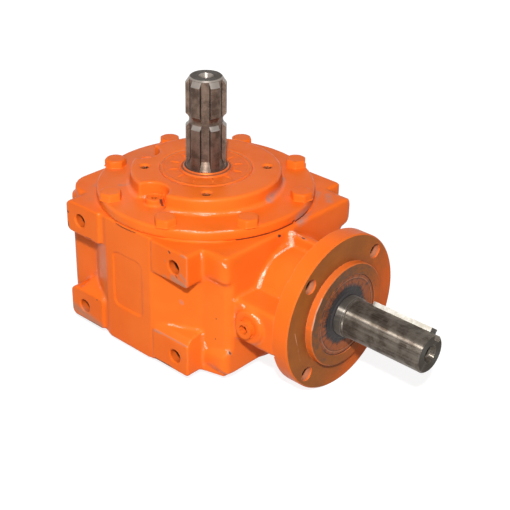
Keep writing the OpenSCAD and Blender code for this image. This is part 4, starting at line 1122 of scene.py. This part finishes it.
def makeBolts(look):
    # each head: a side at the hexagon's reach, flared at the foot, and a top whose height falls off outside the
    # circle in which the flats lie, at thirty degrees
    turn = wholeTurn(look["around"])
    base = coverHigh.z + look["base"]
    reach = hexReach(turn[0])[None, :] * look["halfWidth"]
    flare = np.array([0.9, 0.35, 0.08, 0.0])[:, None] * look["foot"]
    sideHeights = np.array([-0.2, 0.25, 0.6, 1.0])[:, None] * look["foot"]
    shares = np.array([1.0, 0.985, 0.95, 0.9, 0.8, 0.6, 0.3, 0.02])[:, None]
    topRadius = reach * shares
    fall = np.maximum(topRadius - look["halfWidth"] * look["flat"], 0) * np.tan(np.radians(look["slope"]))
    topHeight = look["tall"] - fall - look["crown"] * np.clip((shares - 0.95) / 0.05, 0, 1)
    radius = np.concatenate([reach + flare, topRadius])
    height = np.concatenate([sideHeights + 0 * turn, topHeight])
    allPoints, allFaces = [], []
    rows = len(radius)
    for i in range(look["count"]):
        ring = 2 * np.pi * (i + 0.5) / look["count"]
        spin = np.radians(look["turns"][i]) + ring + np.pi / 6
        centre = (look["circle"] * np.cos(ring), look["circle"] * np.sin(ring), base)
        points = aboutZ(radius, turn + spin + 0 * radius, height, centre).reshape(-1, 3)
        first = len(allPoints) * rows * look["around"]
        allPoints.append(points)
        allFaces.append(gridFaces(rows, look["around"], first=first))
    return pieceFrom("boltHeads", np.concatenate(allPoints), np.concatenate(allFaces), "housing")


boltHeads = makeBolts(boltLook)
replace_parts(boltHeads, "cover_bolts")
wear(plainPaint, [boltHeads])
print("bolts made")


# Paint bead: what the paint fills in the corner between the cover's edge and the ledge that it stands on

beadLook = {
    "foot": 95 * mm, "wide": 1.7 * mm, "tall": 1.5 * mm, "below": 1.7 * mm, "inside": 0.3 * mm,
    "around": 720, "across": 9, "uneven": (0.12, 7, 19),  # share of its size, and waves round the axis
    # the middle of a stretch, its half width, the soft end and the share of the bead left: by the output neck it
    # is missing, and over the flat panels of both sides it is thin
    "gaps": [(-0.13, 0.42, 0.1, 0.04), (-1.57, 0.33, 0.12, 0.12), (1.57, 0.33, 0.12, 0.12)],
}


def makeBead(look):
    # a concave quarter round in radius and height, carried round the axis, closed by a point inside the corner
    turn = wholeTurn(look["around"])
    bend = np.linspace(0, np.pi / 2, look["across"])[:, None]
    radius = look["foot"] + look["wide"] * (1 - np.sin(bend))
    height = look["tall"] * (1 - np.cos(bend))
    share, fewWaves, manyWaves = look["uneven"]
    uneven = 1 + share * np.sin(fewWaves * turn + 1) * np.sin(manyWaves * turn)
    for middle, half, soft, left in look["gaps"]:
        away = np.abs((turn - middle + np.pi) % (2 * np.pi) - np.pi)
        uneven = uneven * (left + (1 - left) * np.clip((away - half) / soft, 0, 1))
    radius = look["foot"] + (radius - look["foot"]) * uneven
    height = height * uneven
    inside = np.concatenate([look["foot"] - look["inside"] + 0 * turn, radius[:1]])
    radius = np.concatenate([radius, inside])
    height = np.concatenate([height, height[-1:], 0 * turn - look["below"]])
    points = aboutZ(radius, turn + 0 * radius, height, (0, 0, jointZ))
    faces = gridFaces(len(radius), look["around"], closeRows=True)
    return pieceFrom("paintBead", points.reshape(-1, 3), faces, "housing")


paintBead = makeBead(beadLook)
print("bead made")

wear(castPaint, [castBody, castCover])
wear(flangePaint, [outputFlange])
wear(plainPaint, ["level_plug", "drain_plug", "bottom_cap", "cover_plugs", "level_washer", "drain_washer", paintBead])
wear(gasketPaint, ["cover_gasket"])
wear(outputSteel, ["pinion_shaft", "inner_spacer", "outer_spacer"])
wear(splineSteel, ["input_shaft"])
wear(gearSteel, ["crown_wheel", "crown_shims"])
wear(keySteel, ["output_key", "crown_key"])
wear(ringSteel, [n for n in nodes if "circlip" in n])
wear(bearingSteel, [n for n in nodes if "bearing" in n and "cage" not in n])
wear(cageBrass, [n for n in nodes if "cage" in n])


# Studio: pale floor that keeps the shadow, a key lamp above the camera, a wide fill and a soft world

white = (1, 1, 1)
studioLook = {
    "floorZ": cadBounds[0].z,
    "floorSize": 6.0,
    "floorGrey": (0.3, 0.3, 0.3),
    "floorGlow": (0.86, 1.0),  # near the object and far from it
    "glowFrom": 0.25,
    "glowTo": 0.75,
    "lamps": {  # power, size and place
        "key": (29.5, 0.09, (0.914, -0.969, 1.158)),
        "low": (4.8, 0.22, (0.914, -1.32, 0.66)),  # broadens the bright stripe of the level shaft downwards
        "fill": (1.75, 1.6, (-1.3, -1.5, 1.1)),
    },
    "aim": (0.03, 0, 0.07),
    "world": 0.14,
}


def splitRays(w, lighting, shown, outputKind):
    # one shader for the light on the object, another for the rays of the camera, glass and metal
    path = w.node("LightPath").outputs
    seen = w.most(w.most(path["Is Camera Ray"], path["Is Transmission Ray"]), path["Is Glossy Ray"])
    pick = w.node("MixShader", None, seen, lighting.outputs[0], shown.outputs[0])
    w.node(outputKind, Surface=pick.outputs[0])


def makeStudio(look):
    size = look["floorSize"]
    corners = np.array([[-size, -size, 0], [size, -size, 0], [size, size, 0], [-size, size, 0]], float)
    corners[:, 2] = look["floorZ"]
    floor = linked("floor", meshOf("floor", corners, [[0, 1, 2, 3]]))
    material = bpy.data.materials.new("floorWhite")
    w = emptied(material)
    matte = w.node("BsdfDiffuse", Color=look["floorGrey"])
    away = w.vector("LENGTH", w.node("TexCoord").outputs["Object"])
    strength = w.ramp(away, look["glowFrom"], look["glowTo"], *look["floorGlow"])
    glow = w.node("Emission", Color=white, Strength=strength)
    splitRays(w, matte, w.node("AddShader", None, matte.outputs[0], glow.outputs[0]), "OutputMaterial")
    wear(material, [floor])
    for name, (energy, size, place) in look["lamps"].items():
        data = bpy.data.lights.new(name, "AREA")
        data.energy, data.size = energy, size
        lamp = linked(name, data)
        lamp.location = place
        lamp.rotation_euler = (Vector(look["aim"]) - Vector(place)).to_track_quat("-Z", "Y").to_euler()
    world = bpy.data.worlds.new("studio")
    bpy.context.scene.world = world
    w = emptied(world)
    soft, bright = (w.node("Background", Color=white, Strength=power) for power in (look["world"], 1.0))
    splitRays(w, soft, bright, "OutputWorld")


makeStudio(studioLook)
print("studio made")
